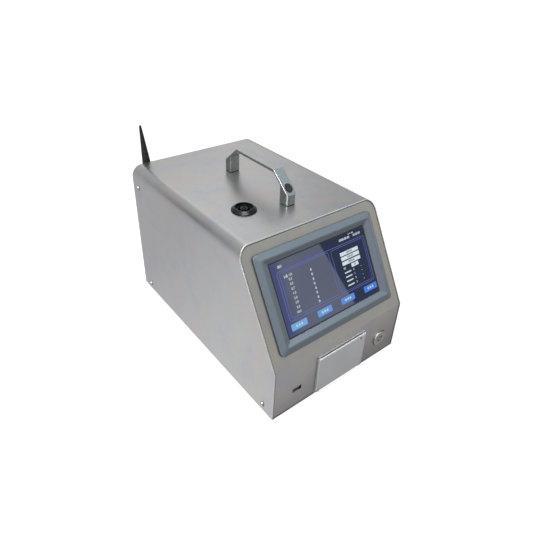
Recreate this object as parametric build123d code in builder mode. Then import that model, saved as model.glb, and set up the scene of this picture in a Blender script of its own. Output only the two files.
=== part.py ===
from build123d import *
from math import asin, cos, degrees, radians, sin, tan
import os

os.makedirs("parts", exist_ok=True)

# Bench-top airborne particle counter: a folded sheet-metal case with a sloping touch screen, a slip
# printer, a sampling inlet and a carrying handle on top, and an aerial, a fan and sockets at the back.
# Millimetres. X runs along the front from left to right, Y from front to back, Z up. The origin is on
# the bench under the middle of the whole object.

# ---- Driving dimensions -------------------------------------------------------------------------------

# Case
WIDTH = 220.0
DEPTH = 342.0
HEIGHT = 208.0
FOLD_HEIGHT = 76.5  # upright part of the front, up to the fold
SLOPE_ANGLE = 60.0  # screen slope from the horizontal
BEND_RADIUS = 16.5  # outside of the two top bends of the cover
SHEET = 1.5
SMALL_BEND = 2.0
FIT = 0.2  # gap between nested sheets
CUT_EDGE_RADIUS = 0.4  # eased front edge of the cover
FRONT_RECESS = 0.6  # front panel behind the cut edge of the cover
BACK_RECESS = 1.0
FOOT_HEIGHT = 8.0
FOOT_SCREW_RADIUS = 2.0

# Flip-door slip printer in the upright front
DOOR_WIDTH = 82.0
DOOR_BOTTOM = 4.9
DOOR_TOP = 62.2
DOOR_PROUD = 3.2
DOOR_THICKNESS = 2.5
PRINTER_WIDTH = 77.0
PRINTER_BOTTOM = 6.5
PRINTER_TOP = 64.0
PRINTER_DEPTH = 52.0
PRINTER_WALL = 1.6
FLANGE_PROUD = 0.4
FLANGE_TOP = 64.7
PIN_RADIUS = 0.75
RUNNING = 0.05  # radial play of a shaft in its hole
PLATEN_HEIGHT = 53.0
PLATEN_INSET = 6.0
PLATEN_RADIUS = 5.0
PLATEN_LENGTH = 57.4
PLATEN_SHAFT_RADIUS = 2.0
ROLL_RADIUS = 20.0
ROLL_WIDTH = 56.4

# Touch screen on the slope
BEZEL = (190.0, 122.0)
WINDOW = (157.0, 92.0)
GLASS = (167.6, 102.6, 3.0)
SCREEN_BOX = (176.6, 106.6, 30.0)
BEZEL_WALL = 2.0
BEZEL_RIDGE = 4.8
BEZEL_BEVEL = 7.5
BEZEL_CORNER = 5.0
RIDGE_RADIUS = 0.5

# Front controls, from the middle of the front and from the bottom of the case
BUTTON_AT = (77.0, 30.5)
BUTTON_HEAD_RADIUS = 11.4
BUTTON_BARREL_RADIUS = 9.4
BUTTON_BORE_RADIUS = 7.3
USB_AT = (-72.6, 30.2)
USB = (14.0, 6.6, 15.0)

# Top, from the middle and from the front of the case
HANDLE_X = 4.0
HANDLE_FRONT = 117.6
HANDLE_LENGTH = 140.4
HANDLE_HEIGHT = 40.0
HANDLE_WIDTH = 15.6
HANDLE_LEG = 15.0
HANDLE_SHOULDER = 14.5
HANDLE_SLOPE_RUN = 29.0
HANDLE_GRIP = 4.0
HANDLE_PAD = 1.0
HANDLE_CORNER_RADIUS = 4.5
HANDLE_EDGE_RADIUS = 0.8
HANDLE_SCREW_RADIUS = 2.0
HANDLE_HOLE_RADIUS = 2.3
INLET_AT = (-52.2, 142.0)
INLET_RADIUS = 16.3
INLET_DISH_RADIUS = 11.2
NOZZLE_RADIUS = 2.9
NOZZLE_BORE_RADIUS = 1.6

# Back, seen from behind: to the right of the middle and up from the bottom of the case
AERIAL_AT = (79.2, 154.0)
AERIAL_STANDOFF = 8.0
AERIAL_RADIUS = 6.5
AERIAL_LEAN = 3.7
AERIAL_TIP_HEIGHT = 262.0
FAN_AT = (-50.0, 128.0)
FAN_SIZE = 60.0
FAN_THICKNESS = 20.0
FAN_SCREW_PITCH = 50.0
FAN_SCREW_RADIUS = 2.0
FAN_HOLE_RADIUS = 2.2
MAINS_AT = (-62.0, 38.0)
NETWORK_AT = (-8.0, 32.0)
EXHAUST_AT = (48.0, 38.0)

# ---- Derived places -----------------------------------------------------------------------------------

REAR_REACH = AERIAL_STANDOFF + AERIAL_RADIUS
FRONT_Y = -(DEPTH + REAR_REACH - DOOR_PROUD) / 2
BACK_Y = FRONT_Y + DEPTH
CASE_BOTTOM = FOOT_HEIGHT
CASE_TOP = FOOT_HEIGHT + HEIGHT
TRAY_TOP = CASE_BOTTOM + SHEET
SLOPE_LENGTH = (HEIGHT - FOLD_HEIGHT) / sin(radians(SLOPE_ANGLE))
BACK_FACE = BACK_Y - BACK_RECESS
BACK_INSIDE = BACK_FACE - SHEET

# Outward-facing planes of the front, the slope, the top and the back.
FRONT = Plane(origin=(0, FRONT_Y, CASE_BOTTOM), x_dir=(1, 0, 0), z_dir=(0, -1, 0))
SLOPE = Plane(
    origin=(0, FRONT_Y, CASE_BOTTOM + FOLD_HEIGHT),
    x_dir=(1, 0, 0),
    z_dir=(0, -sin(radians(SLOPE_ANGLE)), cos(radians(SLOPE_ANGLE))),
)
TOP = Plane.XY.offset(CASE_TOP)
BACK = Plane(origin=(0, BACK_FACE, CASE_BOTTOM), x_dir=(-1, 0, 0), z_dir=(0, 1, 0))
BACK_INNER = Plane(origin=(0, BACK_INSIDE, CASE_BOTTOM), x_dir=(-1, 0, 0), z_dir=(0, 1, 0))


def behind_front(distance):
    """Y of a point this far behind the front of the case."""
    return FRONT_Y + distance


def front_outline(depth):
    """Fold and top of the front outline, moved this far into the case, as (y, z)."""
    fold_z = CASE_BOTTOM + FOLD_HEIGHT - depth * tan(radians(90 - SLOPE_ANGLE) / 2)
    top_z = CASE_TOP - SHEET - FIT
    fold_y = FRONT_Y + depth
    return (fold_y, fold_z), (fold_y + (top_z - fold_z) / tan(radians(SLOPE_ANGLE)), top_z)


def case_section(inset, y):
    """Cross-section of the case at y, smaller by inset at the sides and the top."""
    with BuildSketch(Plane.XZ.offset(-y)) as section:
        with Locations((0, CASE_BOTTOM)):
            Rectangle(WIDTH - 2 * inset, HEIGHT - inset, align=(Align.CENTER, Align.MIN))
        fillet(section.vertices().group_by(Axis.Y)[-1], BEND_RADIUS - inset)
    return section.sketch


def hexagon(across_flats):
    """Hexagon of this width across its flats."""
    return RegularPolygon(across_flats / 2, 6, major_radius=False)


cover_outside = case_section(0, FRONT_Y)
cover_inside = case_section(SHEET, FRONT_Y)
nested_section = case_section(SHEET + FIT, FRONT_Y)

HANDLE_MIDDLE = behind_front(HANDLE_FRONT + HANDLE_LENGTH / 2)
LEG_PITCH = HANDLE_LENGTH - HANDLE_LEG
INLET_Y = behind_front(INLET_AT[1])
INLET_PLACE = (INLET_AT[0], INLET_Y)

# ---- Case ---------------------------------------------------------------------------------------------

# Cover: one sheet folded over both sides and the top, its front edges cut to the slope.
SIDE_SCREWS = [(DEPTH - 15.4, 179.5), (DEPTH - 22.0, 10.5), (21.0, 10.5)]
SCREW_RADIUS = 1.5
SCREW_HOLE_RADIUS = 1.7
INLET_BARREL_RADIUS = 10.0


def on_front_rim(edge):
    """True for an edge on the outside of the cover along its cut front."""
    middle = edge.position_at(0.5)
    on_slope = abs(SLOPE.to_local_coords(middle).Z) < 0.01
    on_upright = abs(middle.Y - FRONT_Y) < 0.01
    above_bottom = middle.Z > CASE_BOTTOM + 0.01
    return (on_slope or on_upright) and above_bottom and not inside_cover(middle)


def inside_cover(point):
    """True for a point on the inner face of the cover."""
    side_gap = WIDTH / 2 - abs(point.X)
    top_gap = CASE_TOP - point.Z
    if side_gap < BEND_RADIUS and top_gap < BEND_RADIUS:
        from_bend = ((BEND_RADIUS - side_gap) ** 2 + (BEND_RADIUS - top_gap) ** 2) ** 0.5
        return from_bend < BEND_RADIUS - SHEET / 2
    return min(side_gap, top_gap) > SHEET / 2


with BuildPart() as outer_cover:
    extrude(cover_outside, amount=DEPTH, dir=(0, 1, 0))
    extrude(cover_inside, amount=DEPTH, dir=(0, 1, 0), mode=Mode.SUBTRACT)
    with BuildSketch(SLOPE):
        Rectangle(2 * WIDTH, 2 * SLOPE_LENGTH, align=(Align.CENTER, Align.MIN))
    extrude(amount=WIDTH, mode=Mode.SUBTRACT)
    fillet(outer_cover.edges().filter_by(on_front_rim), CUT_EDGE_RADIUS)
    with BuildSketch(Plane.YZ):
        for along, up in SIDE_SCREWS:
            with Locations((behind_front(along), CASE_BOTTOM + up)):
                Circle(SCREW_HOLE_RADIUS)
    extrude(amount=WIDTH, both=True, mode=Mode.SUBTRACT)
    with BuildSketch(TOP):
        with Locations((HANDLE_X, HANDLE_MIDDLE)):
            with GridLocations(1, LEG_PITCH, 1, 2):
                Circle(HANDLE_HOLE_RADIUS)
        with Locations(INLET_PLACE):
            Circle(INLET_BARREL_RADIUS + FIT)
    extrude(amount=-BEND_RADIUS, mode=Mode.SUBTRACT)

# Front panel: one sheet folded four times, from a lip on the tray, up the front and the slope, to a lip
# under the cover.
PRINTER_CUT = (PRINTER_WIDTH + 2 * FIT, PRINTER_TOP - PRINTER_BOTTOM + 2 * FIT)
PRINTER_MIDDLE = (PRINTER_BOTTOM + PRINTER_TOP) / 2
BEZEL_MIDDLE = SLOPE_LENGTH / 2
SKIRT = (GLASS[0] + 9.0, GLASS[1] + 4.0)
LOWER_LIP = 15.0
UPPER_LIP = 12.0
panel_fold, panel_top = front_outline(FRONT_RECESS)

with BuildPart() as front_panel:
    with BuildSketch(Plane.YZ):
        with BuildLine():
            FilletPolyline(
                (panel_fold[0] + LOWER_LIP, TRAY_TOP),
                (panel_fold[0], TRAY_TOP),
                panel_fold,
                panel_top,
                (panel_top[0] + UPPER_LIP, panel_top[1]),
                radius=SMALL_BEND,
            )
            offset(amount=SHEET, side=Side.RIGHT)
        make_face()
    extrude(amount=WIDTH, both=True)
    extrude(nested_section, amount=DEPTH, dir=(0, 1, 0), mode=Mode.INTERSECT)
    with BuildSketch(FRONT):
        with Locations((0, PRINTER_MIDDLE)):
            Rectangle(*PRINTER_CUT)
        with Locations(BUTTON_AT):
            Circle(BUTTON_BARREL_RADIUS + FIT)
        with Locations(USB_AT):
            Rectangle(USB[0] + FIT, USB[1] + FIT)
    extrude(amount=-SHEET - 2 * FRONT_RECESS, mode=Mode.SUBTRACT)
    with BuildSketch(SLOPE):
        with Locations((0, BEZEL_MIDDLE)):
            RectangleRounded(SKIRT[0] + 2 * FIT, SKIRT[1] + 2 * FIT, 3)
    extrude(amount=-SHEET - 2 * FRONT_RECESS, mode=Mode.SUBTRACT)
    # The lower lip is notched at both ends, round the upturned sides of the tray.
    with BuildSketch(Plane.XY.offset(TRAY_TOP)):
        with Locations((0, behind_front(FRONT_RECESS + 2 * SHEET))):
            with GridLocations(WIDTH - 2 * SHEET, 1, 2, 1):
                Rectangle(8, LOWER_LIP, align=(Align.CENTER, Align.MIN))
    extrude(amount=2 * SHEET, mode=Mode.SUBTRACT)

# Base tray: floor with two upturned sides, foot holes and rows of air slots.
TRAY_LENGTH = BACK_INSIDE - FIT - behind_front(FRONT_RECESS + FIT)
TRAY_MIDDLE = (BACK_INSIDE - FIT + behind_front(FRONT_RECESS + FIT)) / 2
TRAY_SIDE = 20.0
FEET = (160.0, 272.0)
FOOT_MIDDLE = (0, behind_front(DEPTH / 2))
TRAY_WIDTH = WIDTH - 2 * (SHEET + FIT)

with BuildPart() as base_tray:
    with BuildSketch(Plane.XZ.offset(-TRAY_MIDDLE)):
        with BuildLine():
            FilletPolyline(
                (-TRAY_WIDTH / 2, CASE_BOTTOM + TRAY_SIDE),
                (-TRAY_WIDTH / 2, CASE_BOTTOM),
                (TRAY_WIDTH / 2, CASE_BOTTOM),
                (TRAY_WIDTH / 2, CASE_BOTTOM + TRAY_SIDE),
                radius=SMALL_BEND,
            )
            offset(amount=SHEET, side=Side.LEFT)
        make_face()
    extrude(amount=TRAY_LENGTH / 2, both=True)
    with BuildSketch(Plane.YZ):
        for along, up in SIDE_SCREWS[1:]:
            with Locations((behind_front(along), CASE_BOTTOM + up)):
                Circle(SCREW_RADIUS)
    extrude(amount=WIDTH, both=True, mode=Mode.SUBTRACT)
    with BuildSketch(Plane.XY.offset(CASE_BOTTOM)):
        with Locations(FOOT_MIDDLE):
            with GridLocations(*FEET, 2, 2):
                Circle(FOOT_SCREW_RADIUS)
        with Locations((0, behind_front(80))):
            with GridLocations(9, 1, 8, 1):
                SlotOverall(24, 3, rotation=90)
    extrude(amount=SHEET, mode=Mode.SUBTRACT)
    # The front corners of the upturned sides are clipped behind the fold of the front panel.
    with BuildSketch(Plane.YZ):
        with Locations((behind_front(0), CASE_BOTTOM + SHEET)):
            Rectangle(4, TRAY_SIDE, align=(Align.MIN, Align.MIN))
    extrude(amount=WIDTH, both=True, mode=Mode.SUBTRACT)

# Back panel: flat plate with flanges turned in along its sides and top, and the cut-outs for all that it
# carries.
FLANGE_DEPTH = 22.0
CORNER = BEND_RADIUS + 4.0
FAN_BORE_RADIUS = 28.2
AERIAL_HOLE_RADIUS = 3.2
MAINS = (27.0, 20.0)
NETWORK = (16.0, 13.5, 18.0)
back_outside = case_section(SHEET + FIT, BACK_FACE - FLANGE_DEPTH)
back_cavity = case_section(2 * SHEET + FIT, BACK_FACE - FLANGE_DEPTH)

with BuildPart() as back_panel:
    extrude(back_outside, amount=FLANGE_DEPTH, dir=(0, 1, 0))
    extrude(back_cavity, amount=FLANGE_DEPTH - SHEET, dir=(0, 1, 0), mode=Mode.SUBTRACT)
    # Corner reliefs between the flanges, and the tray's height cut away from the side flanges.
    with BuildSketch(Plane(origin=(0, BACK_INSIDE, 0), x_dir=(1, 0, 0), z_dir=(0, -1, 0))):
        with Locations((0, CASE_TOP)):
            with GridLocations(WIDTH, 1, 2, 1):
                Rectangle(2 * CORNER, 2 * CORNER)
        with Locations((0, CASE_BOTTOM)):
            Rectangle(WIDTH, 2 * (TRAY_SIDE + 4))
    extrude(amount=FLANGE_DEPTH, mode=Mode.SUBTRACT)
    with BuildSketch(Plane.YZ):
        with Locations((behind_front(SIDE_SCREWS[0][0]), CASE_BOTTOM + SIDE_SCREWS[0][1])):
            Circle(SCREW_RADIUS)
    extrude(amount=WIDTH, both=True, mode=Mode.SUBTRACT)
    with BuildSketch(BACK):
        with Locations(FAN_AT):
            Circle(FAN_BORE_RADIUS)
            with GridLocations(FAN_SCREW_PITCH, FAN_SCREW_PITCH, 2, 2):
                Circle(FAN_HOLE_RADIUS)
        with Locations(MAINS_AT):
            Rectangle(*MAINS)
        with Locations(NETWORK_AT):
            Rectangle(NETWORK[0] + 2 * FIT, NETWORK[1] + 2 * FIT)
        with Locations(AERIAL_AT):
            Circle(AERIAL_HOLE_RADIUS)
        with Locations(EXHAUST_AT):
            Circle(5.2)
        with Locations((36, 112)):
            with GridLocations(1, 9, 1, 7):
                SlotOverall(44, 3.2)
    extrude(amount=-SHEET, mode=Mode.SUBTRACT)

# Cover screws: pan heads with a cross recess, three on each side.
HEAD_RADIUS = 2.9
HEAD_HEIGHT = 1.8

with BuildPart() as cover_screws:
    for side in (-1, 1):
        for along, up in SIDE_SCREWS:
            seat = Plane(
                origin=(side * WIDTH / 2, behind_front(along), CASE_BOTTOM + up),
                x_dir=(0, 1, 0),
                z_dir=(side, 0, 0),
            )
            with BuildSketch(seat):
                Circle(HEAD_RADIUS)
            extrude(amount=HEAD_HEIGHT, taper=22)
            with BuildSketch(seat):
                Circle(SCREW_RADIUS)
            extrude(amount=-6)
            with BuildSketch(seat.offset(HEAD_HEIGHT)):
                Rectangle(2.6, 0.7)
                Rectangle(0.7, 2.6)
            extrude(amount=-0.9, mode=Mode.SUBTRACT)

# Feet: tapered rubber with a sunk screw.
FOOT_RADIUS = 10.0

with BuildPart() as feet:
    with BuildSketch(Plane.XY.offset(CASE_BOTTOM)):
        with Locations(FOOT_MIDDLE):
            with GridLocations(*FEET, 2, 2):
                Circle(FOOT_RADIUS)
    extrude(amount=-FOOT_HEIGHT, taper=8)
    with BuildSketch(Plane.XY):
        with Locations(FOOT_MIDDLE):
            with GridLocations(*FEET, 2, 2):
                Circle(4.2)
    extrude(amount=4, mode=Mode.SUBTRACT)
    with BuildSketch(Plane.XY):
        with Locations(FOOT_MIDDLE):
            with GridLocations(*FEET, 2, 2):
                Circle(FOOT_SCREW_RADIUS)
    extrude(amount=FOOT_HEIGHT, mode=Mode.SUBTRACT)

with BuildPart() as foot_screws:
    with BuildSketch(Plane.XY.offset(4)):
        with Locations(FOOT_MIDDLE):
            with GridLocations(*FEET, 2, 2):
                Circle(3.6)
    extrude(amount=-2.4)
    with BuildSketch(Plane.XY.offset(4)):
        with Locations(FOOT_MIDDLE):
            with GridLocations(*FEET, 2, 2):
                Circle(FOOT_SCREW_RADIUS)
    extrude(amount=FOOT_HEIGHT + 2)
    with BuildSketch(Plane.XY.offset(1.6)):
        with Locations(FOOT_MIDDLE):
            with GridLocations(*FEET, 2, 2):
                Rectangle(4, 0.9)
                Rectangle(0.9, 4)
    extrude(amount=1.2, mode=Mode.SUBTRACT)

with BuildPart() as foot_nuts:
    with BuildSketch(Plane.XY.offset(TRAY_TOP)):
        with Locations(FOOT_MIDDLE):
            with GridLocations(*FEET, 2, 2):
                hexagon(7)
                Circle(FOOT_SCREW_RADIUS, mode=Mode.SUBTRACT)
    extrude(amount=3.2)

# ---- Touch screen -------------------------------------------------------------------------------------

# Bezel: a moulded picture frame. Its outer bevel climbs to a ridge, and its inner slope falls to the window.
RIDGE_OUTER = (BEZEL[0] - 2 * BEZEL_BEVEL, BEZEL[1] - 2 * BEZEL_BEVEL)
RIDGE_INNER = (RIDGE_OUTER[0] - 3.0, RIDGE_OUTER[1] - 3.0)
WINDOW_LIP = 1.0
RIM = 1.6
SKIRT_DEPTH = 4.0

with BuildPart() as screen_bezel:
    with BuildSketch(SLOPE):
        with Locations((0, BEZEL_MIDDLE)):
            RectangleRounded(*BEZEL, BEZEL_CORNER)
    extrude(amount=BEZEL_WALL)
    with BuildSketch(SLOPE.offset(BEZEL_WALL)):
        with Locations((0, BEZEL_MIDDLE)):
            RectangleRounded(*BEZEL, BEZEL_CORNER)
    with BuildSketch(SLOPE.offset(BEZEL_RIDGE)):
        with Locations((0, BEZEL_MIDDLE)):
            RectangleRounded(*RIDGE_OUTER, 2.5)
    loft()
    with BuildSketch(SLOPE.offset(BEZEL_RIDGE)):
        with Locations((0, BEZEL_MIDDLE)):
            RectangleRounded(*RIDGE_INNER, 2)
    with BuildSketch(SLOPE.offset(WINDOW_LIP)):
        with Locations((0, BEZEL_MIDDLE)):
            RectangleRounded(*WINDOW, 1.5)
    loft(mode=Mode.SUBTRACT)
    with BuildSketch(SLOPE):
        with Locations((0, BEZEL_MIDDLE)):
            RectangleRounded(*WINDOW, 1.5)
    extrude(amount=WINDOW_LIP, mode=Mode.SUBTRACT)
    fillet(screen_bezel.faces().sort_by(Axis((0, 0, 0), SLOPE.z_dir))[-1].edges(), RIDGE_RADIUS)
    # The rim reaches the recessed panel all round and hides the gasket.
    with BuildSketch(SLOPE):
        with Locations((0, BEZEL_MIDDLE)):
            RectangleRounded(*BEZEL, BEZEL_CORNER)
            RectangleRounded(BEZEL[0] - 2 * RIM, BEZEL[1] - 2 * RIM, BEZEL_CORNER - RIM, mode=Mode.SUBTRACT)
    extrude(amount=-FRONT_RECESS)
    with BuildSketch(SLOPE):
        with Locations((0, BEZEL_MIDDLE)):
            RectangleRounded(*SKIRT, 3)
            RectangleRounded(GLASS[0] + 2 * FIT, GLASS[1] + 2 * FIT, 2, mode=Mode.SUBTRACT)
    extrude(amount=-SKIRT_DEPTH)

with BuildPart() as screen_gasket:
    with BuildSketch(SLOPE):
        with Locations((0, BEZEL_MIDDLE)):
            RectangleRounded(BEZEL[0] - 2 * RIM - 1, BEZEL[1] - 2 * RIM - 1, 3)
            RectangleRounded(SKIRT[0] + 2 * FIT, SKIRT[1] + 2 * FIT, 3, mode=Mode.SUBTRACT)
    extrude(amount=-FRONT_RECESS)

with BuildPart() as touch_glass:
    with BuildSketch(SLOPE):
        with Locations((0, BEZEL_MIDDLE)):
            RectangleRounded(GLASS[0], GLASS[1], 2)
    extrude(amount=-GLASS[2])

# Display module: thin panel with a connector strip, behind the glass.
MODULE = (165.0, 100.0, 5.7)

with BuildPart() as display_module:
    with BuildSketch(SLOPE.offset(-GLASS[2])):
        with Locations((0, BEZEL_MIDDLE)):
            Rectangle(MODULE[0], MODULE[1])
    extrude(amount=-MODULE[2])
    with BuildSketch(SLOPE.offset(-GLASS[2] - MODULE[2])):
        with Locations((-30, BEZEL_MIDDLE - 38)):
            Rectangle(60, 12)
    extrude(amount=-3)

# Screen housing: moulded tray behind the bezel, with cooling slots and a cable cut-out.
with BuildPart() as screen_housing:
    with BuildSketch(SLOPE.offset(-SKIRT_DEPTH)):
        with Locations((0, BEZEL_MIDDLE)):
            RectangleRounded(SCREEN_BOX[0], SCREEN_BOX[1], 3)
    extrude(amount=-SCREEN_BOX[2])
    with BuildSketch(SLOPE.offset(-SKIRT_DEPTH)):
        with Locations((0, BEZEL_MIDDLE)):
            RectangleRounded(GLASS[0], GLASS[1], 2)
    extrude(amount=2 - SCREEN_BOX[2], mode=Mode.SUBTRACT)
    with BuildSketch(SLOPE.offset(-SKIRT_DEPTH - SCREEN_BOX[2])):
        with Locations((0, BEZEL_MIDDLE + 34)):
            with GridLocations(10, 1, 11, 1):
                SlotOverall(20, 3, rotation=90)
        with Locations((-40, BEZEL_MIDDLE - 40)):
            Rectangle(50, 12)
    extrude(amount=2, mode=Mode.SUBTRACT)

# Four clamps hook on the housing and press the front panel against the bezel.
CLAMP = (14.0, 7.0)
PANEL_INSIDE = FRONT_RECESS + SHEET

with BuildPart() as screen_clamps:
    with BuildSketch(SLOPE.offset(-PANEL_INSIDE)):
        with Locations((0, BEZEL_MIDDLE)):
            with GridLocations(110, SCREEN_BOX[1] + CLAMP[1], 2, 2):
                Rectangle(*CLAMP)
    extrude(amount=-16)

# ---- Slip printer -------------------------------------------------------------------------------------

HINGE_OUT = DOOR_PROUD - DOOR_THICKNESS / 2
HINGE_UP = DOOR_BOTTOM + DOOR_THICKNESS / 2
LUG = (4.2, 4.8)
LUG_GAP = 0.3
SIDE_OF_FRONT = Plane(origin=(0, FRONT_Y, CASE_BOTTOM), x_dir=(0, -1, 0), z_dir=(-1, 0, 0))
BAY_ROOF = PRINTER_TOP - PRINTER_WALL
BAY_FLOOR = PRINTER_BOTTOM + PRINTER_WALL
BAY_WIDTH = PRINTER_WIDTH - 2 * PRINTER_WALL

# Frame: moulded bay for the paper, with a thin flange on the panel and two lugs that hold the hinge pin.
with BuildPart() as printer_frame:
    with BuildSketch(FRONT.offset(-FRONT_RECESS)):
        with Locations((0, PRINTER_MIDDLE)):
            Rectangle(PRINTER_WIDTH, PRINTER_TOP - PRINTER_BOTTOM)
    extrude(amount=-PRINTER_DEPTH)
    with BuildSketch(FRONT.offset(-FRONT_RECESS)):
        with Locations((0, DOOR_BOTTOM)):
            Rectangle(DOOR_WIDTH, FLANGE_TOP - DOOR_BOTTOM, align=(Align.CENTER, Align.MIN))
    extrude(amount=FRONT_RECESS + FLANGE_PROUD)
    with BuildSketch(FRONT.offset(FLANGE_PROUD)):
        with Locations((0, DOOR_BOTTOM)):
            with GridLocations(DOOR_WIDTH - LUG[0], 1, 2, 1):
                Rectangle(*LUG, align=(Align.CENTER, Align.MIN))
    extrude(amount=DOOR_PROUD - FLANGE_PROUD)
    with BuildSketch(FRONT.offset(FLANGE_PROUD)):
        with Locations((0, BAY_FLOOR)):
            Rectangle(BAY_WIDTH, BAY_ROOF - BAY_FLOOR, align=(Align.CENTER, Align.MIN))
    extrude(amount=PRINTER_WALL - PRINTER_DEPTH - FRONT_RECESS - FLANGE_PROUD, mode=Mode.SUBTRACT)
    with BuildSketch(SIDE_OF_FRONT):
        with Locations((HINGE_OUT, HINGE_UP)):
            Circle(PIN_RADIUS)
    extrude(amount=DOOR_WIDTH, both=True, mode=Mode.SUBTRACT)
    # Two fins carry the paper roll clear of the floor.
    with BuildSketch(FRONT.offset(-FRONT_RECESS - 12)):
        with Locations((0, BAY_FLOOR)):
            with GridLocations(40, 1, 2, 1):
                Rectangle(1.6, 3, align=(Align.CENTER, Align.MIN))
    extrude(amount=-30)

# Door: plate with a round lower edge that turns on the pin, and two cheeks inside that carry the platen.
CHEEK_INNER = 29.0
CHEEK = 3.0
LIGHT_AT = (31.7, 58.0)
LIGHT_RADIUS = 1.5

with BuildPart() as printer_door:
    with BuildSketch(SIDE_OF_FRONT):
        with Locations((HINGE_OUT, HINGE_UP)):
            Circle(DOOR_THICKNESS / 2)
            Rectangle(DOOR_THICKNESS, DOOR_TOP - HINGE_UP, align=(Align.CENTER, Align.MIN))
    extrude(amount=DOOR_WIDTH / 2, both=True)
    chamfer(printer_door.edges().filter_by(Axis.X).group_by(Axis.Z)[-1].sort_by(Axis.Y)[-1], 0.8)
    outer_edges = printer_door.faces().filter_by(Axis.Y).sort_by(Axis.Y)[0].edges()
    chamfer(outer_edges.filter_by(Axis.Z) + outer_edges.sort_by(Axis.Z)[-1:], 0.4)
    with BuildSketch(FRONT.offset(DOOR_PROUD)):
        with Locations((0, DOOR_BOTTOM)):
            with GridLocations(DOOR_WIDTH - LUG[0], 1, 2, 1):
                Rectangle(LUG[0] + 2 * LUG_GAP, LUG[1] + LUG_GAP, align=(Align.CENTER, Align.MIN))
    extrude(amount=-DOOR_PROUD, mode=Mode.SUBTRACT)
    for side in (-1, 1):
        cheek_plane = SIDE_OF_FRONT.offset(side * (CHEEK_INNER + CHEEK / 2))
        with BuildSketch(cheek_plane):
            with BuildLine():
                Polyline((1, 38), (1, 60), (-7, 60), (-10.5, 56.5), (-10.5, 49), (-3, 38), close=True)
            make_face()
        extrude(amount=CHEEK / 2, both=True)
    with BuildSketch(FRONT.offset(DOOR_PROUD)):
        with Locations(LIGHT_AT):
            Circle(LIGHT_RADIUS)
    extrude(amount=-DOOR_PROUD, mode=Mode.SUBTRACT)
    with BuildSketch(SIDE_OF_FRONT):
        with Locations((-PLATEN_INSET, PLATEN_HEIGHT)):
            Circle(PLATEN_SHAFT_RADIUS + RUNNING)
        with Locations((HINGE_OUT, HINGE_UP)):
            Circle(PIN_RADIUS + RUNNING)
    extrude(amount=DOOR_WIDTH, both=True, mode=Mode.SUBTRACT)

with BuildPart() as door_light:
    with BuildSketch(FRONT.offset(DOOR_PROUD - DOOR_THICKNESS)):
        with Locations(LIGHT_AT):
            Circle(LIGHT_RADIUS)
    extrude(amount=DOOR_THICKNESS)

with BuildPart() as hinge_pin:
    with BuildSketch(SIDE_OF_FRONT):
        with Locations((HINGE_OUT, HINGE_UP)):
            Circle(PIN_RADIUS)
    extrude(amount=DOOR_WIDTH / 2, both=True)

# Platen: rubber sleeve on a steel shaft, with the driven gear at its right end.
GEAR_TEETH = 18
GEAR_MODULE = 0.6
GEAR_TOOTH = 1.05

with BuildPart() as platen_shaft:
    with BuildSketch(SIDE_OF_FRONT):
        with Locations((-PLATEN_INSET, PLATEN_HEIGHT)):
            Circle(PLATEN_SHAFT_RADIUS)
    extrude(amount=36, both=True)

with BuildPart() as platen_roller:
    with BuildSketch(SIDE_OF_FRONT):
        with Locations((-PLATEN_INSET, PLATEN_HEIGHT)):
            Circle(PLATEN_RADIUS)
            Circle(PLATEN_SHAFT_RADIUS, mode=Mode.SUBTRACT)
    extrude(amount=PLATEN_LENGTH / 2, both=True)

with BuildPart() as platen_gear:
    with BuildSketch(SIDE_OF_FRONT.offset(-CHEEK_INNER - CHEEK - 0.6)):
        with Locations((-PLATEN_INSET, PLATEN_HEIGHT)):
            Circle(GEAR_MODULE * (GEAR_TEETH / 2 - 1.2))
            with PolarLocations(GEAR_MODULE * GEAR_TEETH / 2 - 0.1, GEAR_TEETH):
                Trapezoid(GEAR_TOOTH, 2.2 * GEAR_MODULE, 78, rotation=-90)
            Circle(PLATEN_SHAFT_RADIUS, mode=Mode.SUBTRACT)
    extrude(amount=-3)

# Print head: heater bar leaning at 45 degrees on the platen, hung from the roof of the bay.
HEAD_GAP = 0.3
HEAD_HALF = 28.2
head_reach = (PLATEN_RADIUS + HEAD_GAP) * cos(radians(45))
head_out = -PLATEN_INSET - head_reach
head_up = PLATEN_HEIGHT + head_reach

with BuildPart() as print_head:
    with BuildSketch(SIDE_OF_FRONT):
        with BuildLine():
            Polyline(
                (head_out + 4, head_up + 4),
                (head_out + 4 - (BAY_ROOF - head_up - 4), BAY_ROOF),
                (head_out - 8, BAY_ROOF),
                (head_out - 8, head_up - 2),
                (head_out - 5, head_up - 5),
                close=True,
            )
        make_face()
    extrude(amount=HEAD_HALF, both=True)

# Paper roll: rests on the fins.
with BuildPart() as paper_roll:
    with BuildSketch(SIDE_OF_FRONT):
        with Locations((-28, BAY_FLOOR + 3 + ROLL_RADIUS)):
            Circle(ROLL_RADIUS)
            Circle(6, mode=Mode.SUBTRACT)
    extrude(amount=ROLL_WIDTH / 2, both=True)

# ---- Front controls -----------------------------------------------------------------------------------

# Power button: a metal push switch with a round head outside the panel and a nut behind it.
BUTTON_HEAD = 1.1
BARREL_LENGTH = 20.0
SYMBOL_RADIUS = 4.4
SYMBOL_LINE = 0.9
SYMBOL_DEPTH = 0.4

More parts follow.
